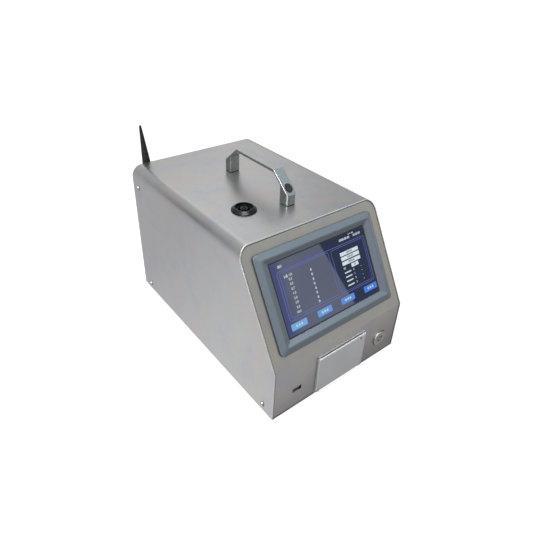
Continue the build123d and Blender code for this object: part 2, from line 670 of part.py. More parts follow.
with BuildPart() as power_button_body:
    with BuildSketch(FRONT.offset(-FRONT_RECESS)):
        with Locations(BUTTON_AT):
            Circle(BUTTON_HEAD_RADIUS)
    extrude(amount=FRONT_RECESS + BUTTON_HEAD)
    fillet(power_button_body.edges().group_by(Axis.Y)[0], 0.5)
    with BuildSketch(FRONT.offset(-FRONT_RECESS)):
        with Locations(BUTTON_AT):
            Circle(BUTTON_BARREL_RADIUS)
    extrude(amount=-BARREL_LENGTH)
    with BuildSketch(FRONT.offset(BUTTON_HEAD)):
        with Locations(BUTTON_AT):
            Circle(BUTTON_BORE_RADIUS)
    extrude(amount=-10, mode=Mode.SUBTRACT)

# Its cap slides in the bore and carries an engraved stand-by symbol.
with BuildPart() as power_button_cap:
    with BuildSketch(FRONT.offset(BUTTON_HEAD - 0.2)):
        with Locations(BUTTON_AT):
            Circle(BUTTON_BORE_RADIUS - 0.1)
    extrude(amount=-6)
    with BuildSketch(FRONT.offset(BUTTON_HEAD - 0.2)):
        with Locations(BUTTON_AT):
            Circle(SYMBOL_RADIUS)
            Circle(SYMBOL_RADIUS - SYMBOL_LINE, mode=Mode.SUBTRACT)
            with Locations((0, SYMBOL_RADIUS)):
                Rectangle(3 * SYMBOL_LINE, SYMBOL_RADIUS, mode=Mode.SUBTRACT)
            Rectangle(SYMBOL_LINE, SYMBOL_RADIUS + SYMBOL_LINE / 2, align=(Align.CENTER, Align.MIN))
    extrude(amount=-SYMBOL_DEPTH, mode=Mode.SUBTRACT)

with BuildPart() as power_button_nut:
    with BuildSketch(FRONT.offset(-PANEL_INSIDE)):
        with Locations(BUTTON_AT):
            hexagon(23)
            Circle(BUTTON_BARREL_RADIUS, mode=Mode.SUBTRACT)
    extrude(amount=-3)

with BuildPart() as power_button_base:
    with BuildSketch(FRONT.offset(-FRONT_RECESS - BARREL_LENGTH)):
        with Locations(BUTTON_AT):
            Circle(8)
    extrude(amount=-6)
    with BuildSketch(FRONT.offset(-FRONT_RECESS - BARREL_LENGTH - 6)):
        with Locations(BUTTON_AT):
            with GridLocations(7, 7, 2, 2):
                Rectangle(2.8, 0.5)
    extrude(amount=-6)

# USB socket: metal shell with a tongue, and a flange behind the panel.
with BuildPart() as usb_socket:
    with BuildSketch(FRONT.offset(-FRONT_RECESS)):
        with Locations(USB_AT):
            Rectangle(USB[0], USB[1])
    extrude(amount=-USB[2])
    with BuildSketch(FRONT.offset(-PANEL_INSIDE)):
        with Locations(USB_AT):
            Rectangle(USB[0] + 6, USB[1] + 6)
    extrude(amount=-1)
    with BuildSketch(FRONT.offset(-FRONT_RECESS)):
        with Locations(USB_AT):
            Rectangle(USB[0] - 1.2, USB[1] - 1.2)
    extrude(amount=1 - USB[2], mode=Mode.SUBTRACT)
    with BuildSketch(FRONT.offset(-FRONT_RECESS - 1.5)):
        with Locations((USB_AT[0], USB_AT[1] + 1.0)):
            Rectangle(11.4, 1.9)
    extrude(amount=2 - USB[2])

# ---- Handle and inlet on the top ----------------------------------------------------------------------

# Handle: one profile with thick legs, sloping shoulders and a flat grip, rounded on its outer corners.
SHOULDER_SLOPE = (HANDLE_HEIGHT - HANDLE_SHOULDER) / HANDLE_SLOPE_RUN
SHOULDER_ANGLE = degrees(asin(SHOULDER_SLOPE / (1 + SHOULDER_SLOPE**2) ** 0.5))
LEG_INNER = HANDLE_SHOULDER + HANDLE_LEG * SHOULDER_SLOPE - HANDLE_GRIP
UNDER_GRIP = HANDLE_HEIGHT - HANDLE_GRIP
UNDER_RUN = HANDLE_LEG + (UNDER_GRIP - LEG_INNER) / SHOULDER_SLOPE
half_span = HANDLE_LENGTH / 2
HANDLE_SIDE = Plane(origin=(HANDLE_X, HANDLE_MIDDLE, CASE_TOP), x_dir=(0, 1, 0), z_dir=(1, 0, 0))

half_profile = [
    (half_span - HANDLE_LEG, HANDLE_PAD),
    (half_span, HANDLE_PAD),
    (half_span, HANDLE_SHOULDER),
    (half_span - HANDLE_SLOPE_RUN, HANDLE_HEIGHT),
]
inner_profile = [(half_span - UNDER_RUN, UNDER_GRIP), (half_span - HANDLE_LEG, LEG_INNER)]
mirrored_outer = [(-y, z) for y, z in reversed(half_profile)]
mirrored_inner = [(-y, z) for y, z in reversed(inner_profile)]
PLUG_UP = HANDLE_SHOULDER + HANDLE_LEG / 2 * SHOULDER_SLOPE
PLUG_RADIUS = 5.4
PLUG_DEPTH = 2.5


def shoulder_plane(end):
    """Plane on the sloping shoulder over the leg at this end (-1 front, 1 back), facing out."""
    angle = radians(SHOULDER_ANGLE)
    return Plane(
        origin=(HANDLE_X, HANDLE_MIDDLE + end * LEG_PITCH / 2, CASE_TOP + PLUG_UP),
        x_dir=(1, 0, 0),
        z_dir=(0, end * sin(angle), cos(angle)),
    )


with BuildPart() as handle:
    with BuildSketch(HANDLE_SIDE):
        with BuildLine():
            Polyline(*half_profile, *mirrored_outer, *mirrored_inner, *inner_profile, close=True)
        make_face()
    extrude(amount=HANDLE_WIDTH / 2, both=True)
    corner_edges = handle.edges().filter_by(Axis.Z)
    fillet(corner_edges.group_by(Axis.Y)[0] + corner_edges.group_by(Axis.Y)[-1], HANDLE_CORNER_RADIUS)
    foot_z = CASE_TOP + HANDLE_PAD
    side_edges = handle.faces().filter_by(Axis.X).edges()
    fillet(side_edges.filter_by(lambda edge: edge.position_at(0.5).Z > foot_z + 0.1), HANDLE_EDGE_RADIUS)
    for end in (-1, 1):
        with BuildSketch(shoulder_plane(end)):
            Ellipse(PLUG_RADIUS, PLUG_RADIUS + 1.0)
        extrude(amount=-PLUG_DEPTH, mode=Mode.SUBTRACT)
    with BuildSketch(TOP):
        with Locations((HANDLE_X, HANDLE_MIDDLE)):
            with GridLocations(1, LEG_PITCH, 1, 2):
                Circle(HANDLE_SCREW_RADIUS)
    extrude(amount=12, mode=Mode.SUBTRACT)

with BuildPart() as handle_plugs:
    for end in (-1, 1):
        with BuildSketch(shoulder_plane(end).offset(-PLUG_DEPTH)):
            Ellipse(PLUG_RADIUS, PLUG_RADIUS + 1.0)
        extrude(amount=PLUG_DEPTH + 0.5)

with BuildPart() as handle_pads:
    with BuildSketch(TOP):
        with Locations((HANDLE_X, HANDLE_MIDDLE)):
            with GridLocations(1, LEG_PITCH, 1, 2):
                RectangleRounded(HANDLE_WIDTH - 1, HANDLE_LEG - 1, 3)
                Circle(HANDLE_HOLE_RADIUS, mode=Mode.SUBTRACT)
    extrude(amount=HANDLE_PAD)

with BuildPart() as handle_screws:
    with BuildSketch(TOP.offset(-SHEET)):
        with Locations((HANDLE_X, HANDLE_MIDDLE)):
            with GridLocations(1, LEG_PITCH, 1, 2):
                hexagon(8)
    extrude(amount=-3)
    with BuildSketch(TOP.offset(-SHEET)):
        with Locations((HANDLE_X, HANDLE_MIDDLE)):
            with GridLocations(1, LEG_PITCH, 1, 2):
                Circle(HANDLE_SCREW_RADIUS)
    extrude(amount=SHEET + 11)

# Inlet flange: turned ring with a conical rim, a stepped dish round a boss for the nozzle, and a
# threaded barrel through the cover.
RIM_HEIGHT = 4.2
RIM_EDGE = 1.0
RIM_FLAT = 1.3
DISH_FLOOR = 1.0
WELL_RADIUS = 7.8
WELL_FLOOR = -6.0
BOSS_RADIUS = 4.8
BOSS_TOP = 2.4
BARREL_DEPTH = 14.0

INLET_SECTION = Plane(origin=(*INLET_PLACE, CASE_TOP), x_dir=(1, 0, 0), z_dir=(0, -1, 0))
INLET_AXIS = Axis((*INLET_PLACE, CASE_TOP), (0, 0, 1))

with BuildPart() as inlet_flange:
    with BuildSketch(INLET_SECTION):
        with BuildLine():
            Polyline(
                (NOZZLE_RADIUS, -BARREL_DEPTH),
                (INLET_BARREL_RADIUS, -BARREL_DEPTH),
                (INLET_BARREL_RADIUS, 0),
                (INLET_RADIUS, 0),
                (INLET_RADIUS, RIM_EDGE),
                (INLET_DISH_RADIUS + RIM_FLAT, RIM_HEIGHT),
                (INLET_DISH_RADIUS, RIM_HEIGHT),
                (INLET_DISH_RADIUS, DISH_FLOOR),
                (WELL_RADIUS, DISH_FLOOR),
                (WELL_RADIUS, WELL_FLOOR),
                (BOSS_RADIUS, WELL_FLOOR),
                (BOSS_RADIUS, BOSS_TOP),
                (NOZZLE_RADIUS, BOSS_TOP),
                close=True,
            )
        make_face()
    revolve(axis=INLET_AXIS)

# Nozzle: tube through the flange with a barb for the sample tube.
NOZZLE_TOP = 3.6
NOZZLE_BOTTOM = -26.0

with BuildPart() as inlet_nozzle:
    with BuildSketch(INLET_SECTION):
        with BuildLine():
            Polyline(
                (NOZZLE_BORE_RADIUS, NOZZLE_BOTTOM),
                (NOZZLE_RADIUS - 0.3, NOZZLE_BOTTOM),
                (NOZZLE_RADIUS, NOZZLE_BOTTOM + 9),
                (NOZZLE_RADIUS, NOZZLE_TOP - 0.4),
                (NOZZLE_RADIUS - 0.4, NOZZLE_TOP),
                (NOZZLE_BORE_RADIUS, NOZZLE_TOP),
                close=True,
            )
        make_face()
    revolve(axis=INLET_AXIS)

with BuildPart() as inlet_nut:
    with BuildSketch(TOP.offset(-SHEET)):
        with Locations(INLET_PLACE):
            hexagon(26)
            Circle(INLET_BARREL_RADIUS, mode=Mode.SUBTRACT)
    extrude(amount=-5)

# ---- Sample path inside -------------------------------------------------------------------------------

# Sensor block: the measuring chamber, drilled for the sample, the laser and the detector.
SENSOR = (64.0, 60.0, 46.0)
BRACKET_HEIGHT = 36.0
SENSOR_BOTTOM = TRAY_TOP + BRACKET_HEIGHT
SENSOR_TOP = SENSOR_BOTTOM + SENSOR[2]
SENSOR_MIDDLE = SENSOR_BOTTOM + SENSOR[2] / 2
TUBE_RADIUS = 4.6
SPIGOT = 8.0
LASER_RADIUS = 9.0
DETECTOR_RADIUS = 8.0
sensor_place = Location((*INLET_PLACE, SENSOR_MIDDLE))

with BuildPart() as sensor_block:
    with Locations(sensor_place):
        Box(*SENSOR)
    chamfer(sensor_block.edges().filter_by(Axis.Z), 3)
    with BuildSketch(Plane.XY.offset(SENSOR_TOP)):
        with Locations(INLET_PLACE):
            Circle(NOZZLE_RADIUS)
    extrude(amount=SPIGOT)
    with BuildSketch(Plane.XY.offset(SENSOR_TOP + SPIGOT)):
        with Locations(INLET_PLACE):
            Circle(NOZZLE_BORE_RADIUS)
    extrude(amount=-SPIGOT - SENSOR[2] / 2, mode=Mode.SUBTRACT)
    with BuildSketch(Plane.YZ.offset(INLET_AT[0] + SENSOR[0] / 2)):
        with Locations((INLET_Y, SENSOR_MIDDLE)):
            Circle(LASER_RADIUS)
    extrude(amount=-14, mode=Mode.SUBTRACT)
    with BuildSketch(Plane.XZ.offset(-INLET_Y + SENSOR[1] / 2)):
        with Locations((INLET_AT[0], SENSOR_MIDDLE)):
            Circle(DETECTOR_RADIUS)
    extrude(amount=-14, mode=Mode.SUBTRACT)
    # Outlet spigot at the back.
    with BuildSketch(Plane.XZ.offset(-INLET_Y - SENSOR[1] / 2)):
        with Locations((INLET_AT[0], SENSOR_MIDDLE)):
            Circle(NOZZLE_RADIUS)
    extrude(amount=-SPIGOT)
    with BuildSketch(Plane.XZ.offset(-INLET_Y - SENSOR[1] / 2 - SPIGOT)):
        with Locations((INLET_AT[0], SENSOR_MIDDLE)):
            Circle(NOZZLE_BORE_RADIUS)
    extrude(amount=SPIGOT + SENSOR[1] / 2, mode=Mode.SUBTRACT)

with BuildPart() as laser_module:
    with BuildSketch(Plane.YZ.offset(INLET_AT[0] + SENSOR[0] / 2 - 14)):
        with Locations((INLET_Y, SENSOR_MIDDLE)):
            Circle(LASER_RADIUS)
    extrude(amount=14)
    with BuildSketch(Plane.YZ.offset(INLET_AT[0] + SENSOR[0] / 2)):
        with Locations((INLET_Y, SENSOR_MIDDLE)):
            Circle(LASER_RADIUS + 3)
    extrude(amount=16)

with BuildPart() as photodetector:
    with BuildSketch(Plane.XZ.offset(-INLET_Y + SENSOR[1] / 2 - 14)):
        with Locations((INLET_AT[0], SENSOR_MIDDLE)):
            Circle(DETECTOR_RADIUS)
    extrude(amount=14)
    with BuildSketch(Plane.XZ.offset(-INLET_Y + SENSOR[1] / 2)):
        with Locations((INLET_AT[0], SENSOR_MIDDLE)):
            RectangleRounded(34, 30, 2)
    extrude(amount=6)

# Sensor bracket: folded hat section screwed to the tray.
with BuildPart() as sensor_bracket:
    with BuildSketch(Plane.XZ.offset(-INLET_Y)):
        with BuildLine():
            FilletPolyline(
                (INLET_AT[0] - 44, TRAY_TOP),
                (INLET_AT[0] - 32, TRAY_TOP),
                (INLET_AT[0] - 32, SENSOR_BOTTOM - SHEET),
                (INLET_AT[0] + 32, SENSOR_BOTTOM - SHEET),
                (INLET_AT[0] + 32, TRAY_TOP),
                (INLET_AT[0] + 44, TRAY_TOP),
                radius=SMALL_BEND,
            )
            offset(amount=SHEET, side=Side.LEFT)
        make_face()
    extrude(amount=26, both=True)

# Vacuum pump: motor with a square pump head, on its bracket.
PUMP_Y = behind_front(262)
PUMP_RADIUS = 19.0
PUMP_MOTOR = 46.0
PUMP_HEAD = (46.0, 30.0, 46.0)
PUMP_HEIGHT = SENSOR_MIDDLE

with BuildPart() as vacuum_pump:
    with BuildSketch(Plane.XZ.offset(-PUMP_Y)):
        with Locations((INLET_AT[0], PUMP_HEIGHT)):
            Circle(PUMP_RADIUS)
    extrude(amount=-PUMP_MOTOR)
    with Locations((INLET_AT[0], PUMP_Y - PUMP_HEAD[1] / 2, PUMP_HEIGHT)):
        Box(*PUMP_HEAD)
    with BuildSketch(Plane.XZ.offset(-PUMP_Y + PUMP_HEAD[1])):
        with Locations((INLET_AT[0], PUMP_HEIGHT)):
            Circle(NOZZLE_RADIUS)
    extrude(amount=SPIGOT)
    with BuildSketch(Plane.YZ.offset(INLET_AT[0] + PUMP_HEAD[0] / 2)):
        with Locations((PUMP_Y - PUMP_HEAD[1] / 2, PUMP_HEIGHT)):
            Circle(NOZZLE_RADIUS)
    extrude(amount=SPIGOT)

with BuildPart() as pump_bracket:
    with BuildSketch(Plane.XZ.offset(-PUMP_Y + PUMP_HEAD[1] / 2)):
        with BuildLine():
            FilletPolyline(
                (INLET_AT[0] - 36, TRAY_TOP),
                (INLET_AT[0] - 25, TRAY_TOP),
                (INLET_AT[0] - 25, PUMP_HEIGHT - PUMP_HEAD[2] / 2 - SHEET),
                (INLET_AT[0] + 25, PUMP_HEIGHT - PUMP_HEAD[2] / 2 - SHEET),
                (INLET_AT[0] + 25, TRAY_TOP),
                (INLET_AT[0] + 36, TRAY_TOP),
                radius=SMALL_BEND,
            )
            offset(amount=SHEET, side=Side.LEFT)
        make_face()
    extrude(amount=14, both=True)

# Exhaust filter: upright capsule on the tray between the pump and the back panel.
FILTER_X = 4.0
FILTER_RADIUS = 16.0
FILTER_HEIGHT = 76.0
FILTER_Y = PUMP_Y - PUMP_HEAD[1] / 2
FILTER_BACK = FILTER_Y + FILTER_RADIUS
EXHAUST_HEIGHT = CASE_BOTTOM + EXHAUST_AT[1]
EXHAUST_TAIL = BACK_FACE - 12.0

with BuildPart() as exhaust_filter:
    with BuildSketch(Plane.XY.offset(TRAY_TOP)):
        with Locations((FILTER_X, FILTER_Y)):
            Circle(FILTER_RADIUS + 3)
    extrude(amount=4)
    with BuildSketch(Plane.XY.offset(TRAY_TOP + 4)):
        with Locations((FILTER_X, FILTER_Y)):
            Circle(FILTER_RADIUS)
    extrude(amount=FILTER_HEIGHT - 8)
    with BuildSketch(Plane.XY.offset(TRAY_TOP + FILTER_HEIGHT - 4)):
        with Locations((FILTER_X, FILTER_Y)):
            Circle(FILTER_RADIUS + 3)
    extrude(amount=4)
    with BuildSketch(Plane.YZ.offset(FILTER_X - FILTER_RADIUS + 1)):
        with Locations((FILTER_Y, PUMP_HEIGHT)):
            Circle(NOZZLE_RADIUS)
    extrude(amount=-5)
    with BuildSketch(Plane.XZ.offset(-FILTER_BACK + 1)):
        with Locations((FILTER_X, EXHAUST_HEIGHT)):
            Circle(NOZZLE_RADIUS)
    extrude(amount=-SPIGOT)

# Sample tubes: from the nozzle down to the sensor, from the sensor back to the pump, from the pump to
# the filter, and from the filter round to the exhaust fitting.
sensor_back = INLET_Y + SENSOR[1] / 2
pump_side = INLET_AT[0] + PUMP_HEAD[0] / 2
TUBE_BEND = 7.0

with BuildPart() as sample_tubes:
    with BuildSketch(Plane.XY.offset(SENSOR_TOP)):
        with Locations(INLET_PLACE):
            Circle(TUBE_RADIUS)
            Circle(NOZZLE_RADIUS, mode=Mode.SUBTRACT)
    extrude(amount=CASE_TOP + NOZZLE_BOTTOM + 9 - SENSOR_TOP)
    with BuildSketch(Plane.XZ.offset(-sensor_back)):
        with Locations((INLET_AT[0], SENSOR_MIDDLE)):
            Circle(TUBE_RADIUS)
            Circle(NOZZLE_RADIUS, mode=Mode.SUBTRACT)
    extrude(amount=-(PUMP_Y - PUMP_HEAD[1] - sensor_back))
    with BuildSketch(Plane.YZ.offset(pump_side)):
        with Locations((FILTER_Y, PUMP_HEIGHT)):
            Circle(TUBE_RADIUS)
            Circle(NOZZLE_RADIUS, mode=Mode.SUBTRACT)
    extrude(amount=FILTER_X - FILTER_RADIUS - 0.6 - pump_side)
    with BuildLine() as exhaust_path:
        FilletPolyline(
            (FILTER_X, FILTER_BACK + 0.6, EXHAUST_HEIGHT),
            (FILTER_X, EXHAUST_TAIL - 2 * TUBE_BEND, EXHAUST_HEIGHT),
            (-EXHAUST_AT[0], EXHAUST_TAIL - 2 * TUBE_BEND, EXHAUST_HEIGHT),
            (-EXHAUST_AT[0], EXHAUST_TAIL, EXHAUST_HEIGHT),
            radius=TUBE_BEND,
        )
    with BuildSketch(Plane(origin=exhaust_path.line @ 0, z_dir=exhaust_path.line % 0)):
        Circle(TUBE_RADIUS)
        Circle(NOZZLE_RADIUS, mode=Mode.SUBTRACT)
    sweep(path=exhaust_path.line)

# Exhaust fitting: hose tails outside and inside, flange and nut on the back panel.
with BuildPart() as exhaust_fitting:
    with BuildSketch(BACK):
        with Locations(EXHAUST_AT):
            hexagon(13)
    extrude(amount=3.5)
    with BuildSketch(BACK.offset(3.5)):
        with Locations(EXHAUST_AT):
            Circle(3.4)
    extrude(amount=9.5, taper=4)
    with BuildSketch(BACK):
        with Locations(EXHAUST_AT):
            Circle(5.0)
    extrude(amount=EXHAUST_TAIL - BACK_FACE)
    with BuildSketch(BACK.offset(EXHAUST_TAIL - BACK_FACE)):
        with Locations(EXHAUST_AT):
            Circle(NOZZLE_RADIUS)
    extrude(amount=-SPIGOT)
    with BuildSketch(BACK_INNER):
        with Locations(EXHAUST_AT):
            hexagon(14)
    extrude(amount=-4)
    with BuildSketch(BACK.offset(13)):
        with Locations(EXHAUST_AT):
            Circle(1.8)
    extrude(amount=EXHAUST_TAIL - BACK_FACE - SPIGOT - 13, mode=Mode.SUBTRACT)

# ---- Electronics inside -------------------------------------------------------------------------------

BOARD = (84.0, 150.0, 1.6)
BOARD_PLACE = (61.0, behind_front(148))
BOARD_BOTTOM = TRAY_TOP + 52.0
POSTS = (76.0, 142.0)

with BuildPart() as board_standoffs:
    with BuildSketch(Plane.XY.offset(TRAY_TOP)):
        with Locations(BOARD_PLACE):
            with GridLocations(*POSTS, 2, 2):
                hexagon(6)
    extrude(amount=BOARD_BOTTOM - TRAY_TOP)

with BuildPart() as main_board:
    with BuildSketch(Plane.XY.offset(BOARD_BOTTOM)):
        with Locations(BOARD_PLACE):
            RectangleRounded(BOARD[0], BOARD[1], 3)
    extrude(amount=BOARD[2])

    # Soldered parts: two chips, sockets along the edges and a cooled driver.
    for x, y, long, wide, tall in (
        (-20, -30, 24, 24, 2.5),
        (18, -34, 14, 20, 3.0),
        (-34, 30, 8, 30, 9.0),
        (34, 20, 8, 40, 9.0),
        (0, 62, 40, 8, 9.0),
        (6, 14, 18, 18, 12.0),
    ):
        with BuildSketch(Plane.XY.offset(BOARD_BOTTOM + BOARD[2])):
            with Locations((BOARD_PLACE[0] + x, BOARD_PLACE[1] + y)):
                Rectangle(long, wide)
        extrude(amount=tall)

BATTERY = (62.0, 126.0, 36.0)

with BuildPart() as battery_pack:
    with Locations((*BOARD_PLACE, TRAY_TOP + BATTERY[2] / 2)):
        Box(*BATTERY)
    fillet(battery_pack.edges().filter_by(Axis.Y), 4)

with BuildPart() as battery_clamp:
    with BuildSketch(Plane.XZ.offset(-BOARD_PLACE[1])):
        with Locations((BOARD_PLACE[0], TRAY_TOP)):
            Rectangle(BATTERY[0] + 2.4, BATTERY[2] + 1.2, align=(Align.CENTER, Align.MIN))
            Rectangle(BATTERY[0], BATTERY[2], align=(Align.CENTER, Align.MIN), mode=Mode.SUBTRACT)
            with GridLocations(BATTERY[0] + 12, 1, 2, 1):
                Rectangle(9.6, 1.2, align=(Align.CENTER, Align.MIN))
    extrude(amount=9, both=True)

# Power supply: vented metal can at the back right.
SUPPLY = (70.0, 74.0, 34.0)
SUPPLY_PLACE = (66.0, behind_front(264))

with BuildPart() as power_supply:
    with Locations((*SUPPLY_PLACE, TRAY_TOP + SUPPLY[2] / 2)):
        Box(*SUPPLY)
    with BuildSketch(Plane.XY.offset(TRAY_TOP + SUPPLY[2])):
        with Locations(SUPPLY_PLACE):
            with GridLocations(1, 9, 1, 8):
                SlotOverall(50, 3)
    extrude(amount=-1.2, mode=Mode.SUBTRACT)

# ---- Back ---------------------------------------------------------------------------------------------

# Fan frame: square housing with a round duct, and a motor seat on four struts.
HUB_RADIUS = 13.0

with BuildPart() as fan_frame:
    with BuildSketch(BACK_INNER):
        with Locations(FAN_AT):
            RectangleRounded(FAN_SIZE, FAN_SIZE, 4)
            Circle(FAN_BORE_RADIUS, mode=Mode.SUBTRACT)
            with GridLocations(FAN_SCREW_PITCH, FAN_SCREW_PITCH, 2, 2):
                Circle(FAN_HOLE_RADIUS, mode=Mode.SUBTRACT)
    extrude(amount=-FAN_THICKNESS)
    with BuildSketch(BACK_INNER.offset(-FAN_THICKNESS)):
        with Locations(FAN_AT):
            Circle(HUB_RADIUS)
            Rectangle(2 * FAN_BORE_RADIUS + 2, 3, rotation=45)
            Rectangle(2 * FAN_BORE_RADIUS + 2, 3, rotation=-45)
    extrude(amount=2.5)
    with BuildSketch(BACK_INNER.offset(-FAN_THICKNESS)):
        with Locations(FAN_AT):
            Circle(1.5)
    extrude(amount=12)

# Fan rotor: cup-shaped hub with seven pitched blades.
BLADES = 7
ROTOR_LENGTH = 14.0

with BuildPart() as fan_rotor:
    with BuildSketch(BACK_INNER.offset(-FAN_THICKNESS + 3.2)):
        with Locations(FAN_AT):
            Circle(HUB_RADIUS)
            Circle(1.5 + RUNNING, mode=Mode.SUBTRACT)
    extrude(amount=ROTOR_LENGTH)
    rotor_middle = BACK_INNER.offset(-FAN_THICKNESS + 3.2 + ROTOR_LENGTH / 2)
    for turn in range(BLADES):
        around = radians(turn * 360 / BLADES)
        root = rotor_middle.from_local_coords(
            Vector(FAN_AT[0] + (HUB_RADIUS - 1) * cos(around), FAN_AT[1] + (HUB_RADIUS - 1) * sin(around), 0)
        )
        outward = rotor_middle.from_local_coords(Vector(cos(around), sin(around), 0)) - rotor_middle.origin
        blade_plane = Plane(origin=root, x_dir=BACK_INNER.z_dir, z_dir=outward)
        with BuildSketch(blade_plane):
            Rectangle(ROTOR_LENGTH - 2, 1.4, rotation=38)
        extrude(amount=FAN_BORE_RADIUS - HUB_RADIUS)

# Finger guard: sheet with rings of curved slots, screwed over the fan opening.
GUARD_GAP = 3.6

with BuildPart() as fan_guard:
    with BuildSketch(BACK):
        with Locations(FAN_AT):
            RectangleRounded(FAN_SIZE, FAN_SIZE, 4)
            for radius in (27.5, 21.5, 15.5, 9.5):
                Circle(radius, mode=Mode.SUBTRACT)
                Circle(radius - GUARD_GAP)
            Rectangle(FAN_SIZE - 2, 2.4, rotation=45)
            Rectangle(FAN_SIZE - 2, 2.4, rotation=-45)
            with GridLocations(FAN_SCREW_PITCH, FAN_SCREW_PITCH, 2, 2):
                Circle(FAN_HOLE_RADIUS, mode=Mode.SUBTRACT)
    extrude(amount=1.2)

with BuildPart() as fan_screws:
    with BuildSketch(BACK.offset(1.2)):
        with Locations(FAN_AT):
            with GridLocations(FAN_SCREW_PITCH, FAN_SCREW_PITCH, 2, 2):
                Circle(3.4)
    extrude(amount=1.8, taper=20)
    with BuildSketch(BACK.offset(1.2)):
        with Locations(FAN_AT):
            with GridLocations(FAN_SCREW_PITCH, FAN_SCREW_PITCH, 2, 2):
                Circle(FAN_SCREW_RADIUS)
    extrude(amount=-12)

# Mains inlet: moulded block with a flange and a three-pin recess.
RECESS = (24.0, 16.4, 18.0)
CONTACT_LENGTH = 10.0

with BuildPart() as mains_inlet:
    with BuildSketch(BACK):
        with Locations(MAINS_AT):
            RectangleRounded(50, 24, 3)
            with GridLocations(40, 1, 2, 1):
                Circle(1.7, mode=Mode.SUBTRACT)
    extrude(amount=2.5)
    with BuildSketch(BACK):
        with Locations(MAINS_AT):
            Rectangle(MAINS[0] - 2 * FIT, MAINS[1] - 2 * FIT)
    extrude(amount=-RECESS[2] - 2)
    with BuildSketch(BACK.offset(2.5)):
        with Locations(MAINS_AT):
            Rectangle(RECESS[0], RECESS[1])
    extrude(amount=-RECESS[2], mode=Mode.SUBTRACT)
    with BuildSketch(BACK.offset(2.5 - RECESS[2])):
        with Locations(MAINS_AT):
            with Locations((-7, -2), (7, -2), (0, 2.5)):
                Rectangle(2, 4)
    extrude(amount=CONTACT_LENGTH)

# Network port: shell with an open mouth flush with the panel.
with BuildPart() as network_port:
    with BuildSketch(BACK):
        with Locations(NETWORK_AT):
            Rectangle(NETWORK[0], NETWORK[1])
    extrude(amount=-NETWORK[2])
    with BuildSketch(BACK):
        with Locations((NETWORK_AT[0], NETWORK_AT[1] + 0.6)):
            Rectangle(11.8, 8.4)
            with Locations((0, -4.6)):
                Rectangle(6, 2)
    extrude(amount=-12, mode=Mode.SUBTRACT)
    with BuildSketch(BACK_INNER):
        with Locations(NETWORK_AT):
            Rectangle(NETWORK[0] + 8, NETWORK[1] + 6)
            Rectangle(NETWORK[0], NETWORK[1], mode=Mode.SUBTRACT)
    extrude(amount=-1.5)

# Aerial: a screw connector on the back panel, a forked elbow that turns on it, and a tapered whip in the
# fork. The whip leans slightly outwards.
AERIAL_GAP = 0.3
CONNECTOR_NUT = 0.9
STUB_RADIUS = 1.6
RING_THICKNESS = 1.5
TONGUE = 4.6
TONGUE_RADIUS = 5.6
EAR = 3.0
AERIAL_PIN_RADIUS = 1.5
SLEEVE_START = 7.0
SLEEVE_END = 46.0
WHIP_TIP_RADIUS = 1.7

PIVOT_OUT = BACK_RECESS + AERIAL_STANDOFF
PIVOT = Vector(-AERIAL_AT[0], BACK_FACE + PIVOT_OUT, CASE_BOTTOM + AERIAL_AT[1])
lean = radians(AERIAL_LEAN)
WHIP_UP = Vector(-sin(lean), 0, cos(lean))
HINGE_DIRECTION = Vector(cos(lean), 0, sin(lean))
HINGE_PLANE = Plane(origin=PIVOT, x_dir=(0, 1, 0), z_dir=HINGE_DIRECTION)
WHIP_SECTION = Plane(origin=PIVOT, x_dir=HINGE_DIRECTION, z_dir=(0, -1, 0))
WHIP_LENGTH = (AERIAL_TIP_HEIGHT - AERIAL_AT[1]) / cos(lean)
RING_OUT = CONNECTOR_NUT + AERIAL_GAP

with BuildPart() as aerial_connector:
    with BuildSketch(BACK):
        with Locations(AERIAL_AT):
            hexagon(8)
    extrude(amount=CONNECTOR_NUT)
    with BuildSketch(BACK):
        with Locations(AERIAL_AT):
            Circle(AERIAL_HOLE_RADIUS)
    extrude(amount=-12)
    with BuildSketch(BACK_INNER):
        with Locations(AERIAL_AT):
            hexagon(9)
    extrude(amount=-2.5)
    with BuildSketch(BACK):
        with Locations(AERIAL_AT):
            Circle(STUB_RADIUS)
    extrude(amount=RING_OUT + RING_THICKNESS - 0.1)

with BuildPart() as aerial_elbow:
    with BuildSketch(BACK.offset(RING_OUT)):
        with Locations(AERIAL_AT):
            Circle(AERIAL_RADIUS)
    extrude(amount=RING_THICKNESS)
    for side in (-1, 1):
        with BuildSketch(HINGE_PLANE.offset(side * (TONGUE / 2 + AERIAL_GAP + EAR / 2))):
            Circle(TONGUE_RADIUS)
            Rectangle(PIVOT_OUT - RING_OUT - RING_THICKNESS / 2, 8, align=(Align.MAX, Align.CENTER))
            Circle(AERIAL_PIN_RADIUS, mode=Mode.SUBTRACT)
        extrude(amount=EAR / 2, both=True)
    with BuildSketch(BACK.offset(RING_OUT)):
        with Locations(AERIAL_AT):
            Circle(STUB_RADIUS + RUNNING)
    extrude(amount=RING_THICKNESS, mode=Mode.SUBTRACT)

with BuildPart() as aerial_pin:
    with BuildSketch(HINGE_PLANE):
        Circle(AERIAL_PIN_RADIUS)
    extrude(amount=TONGUE / 2 + AERIAL_GAP + EAR, both=True)

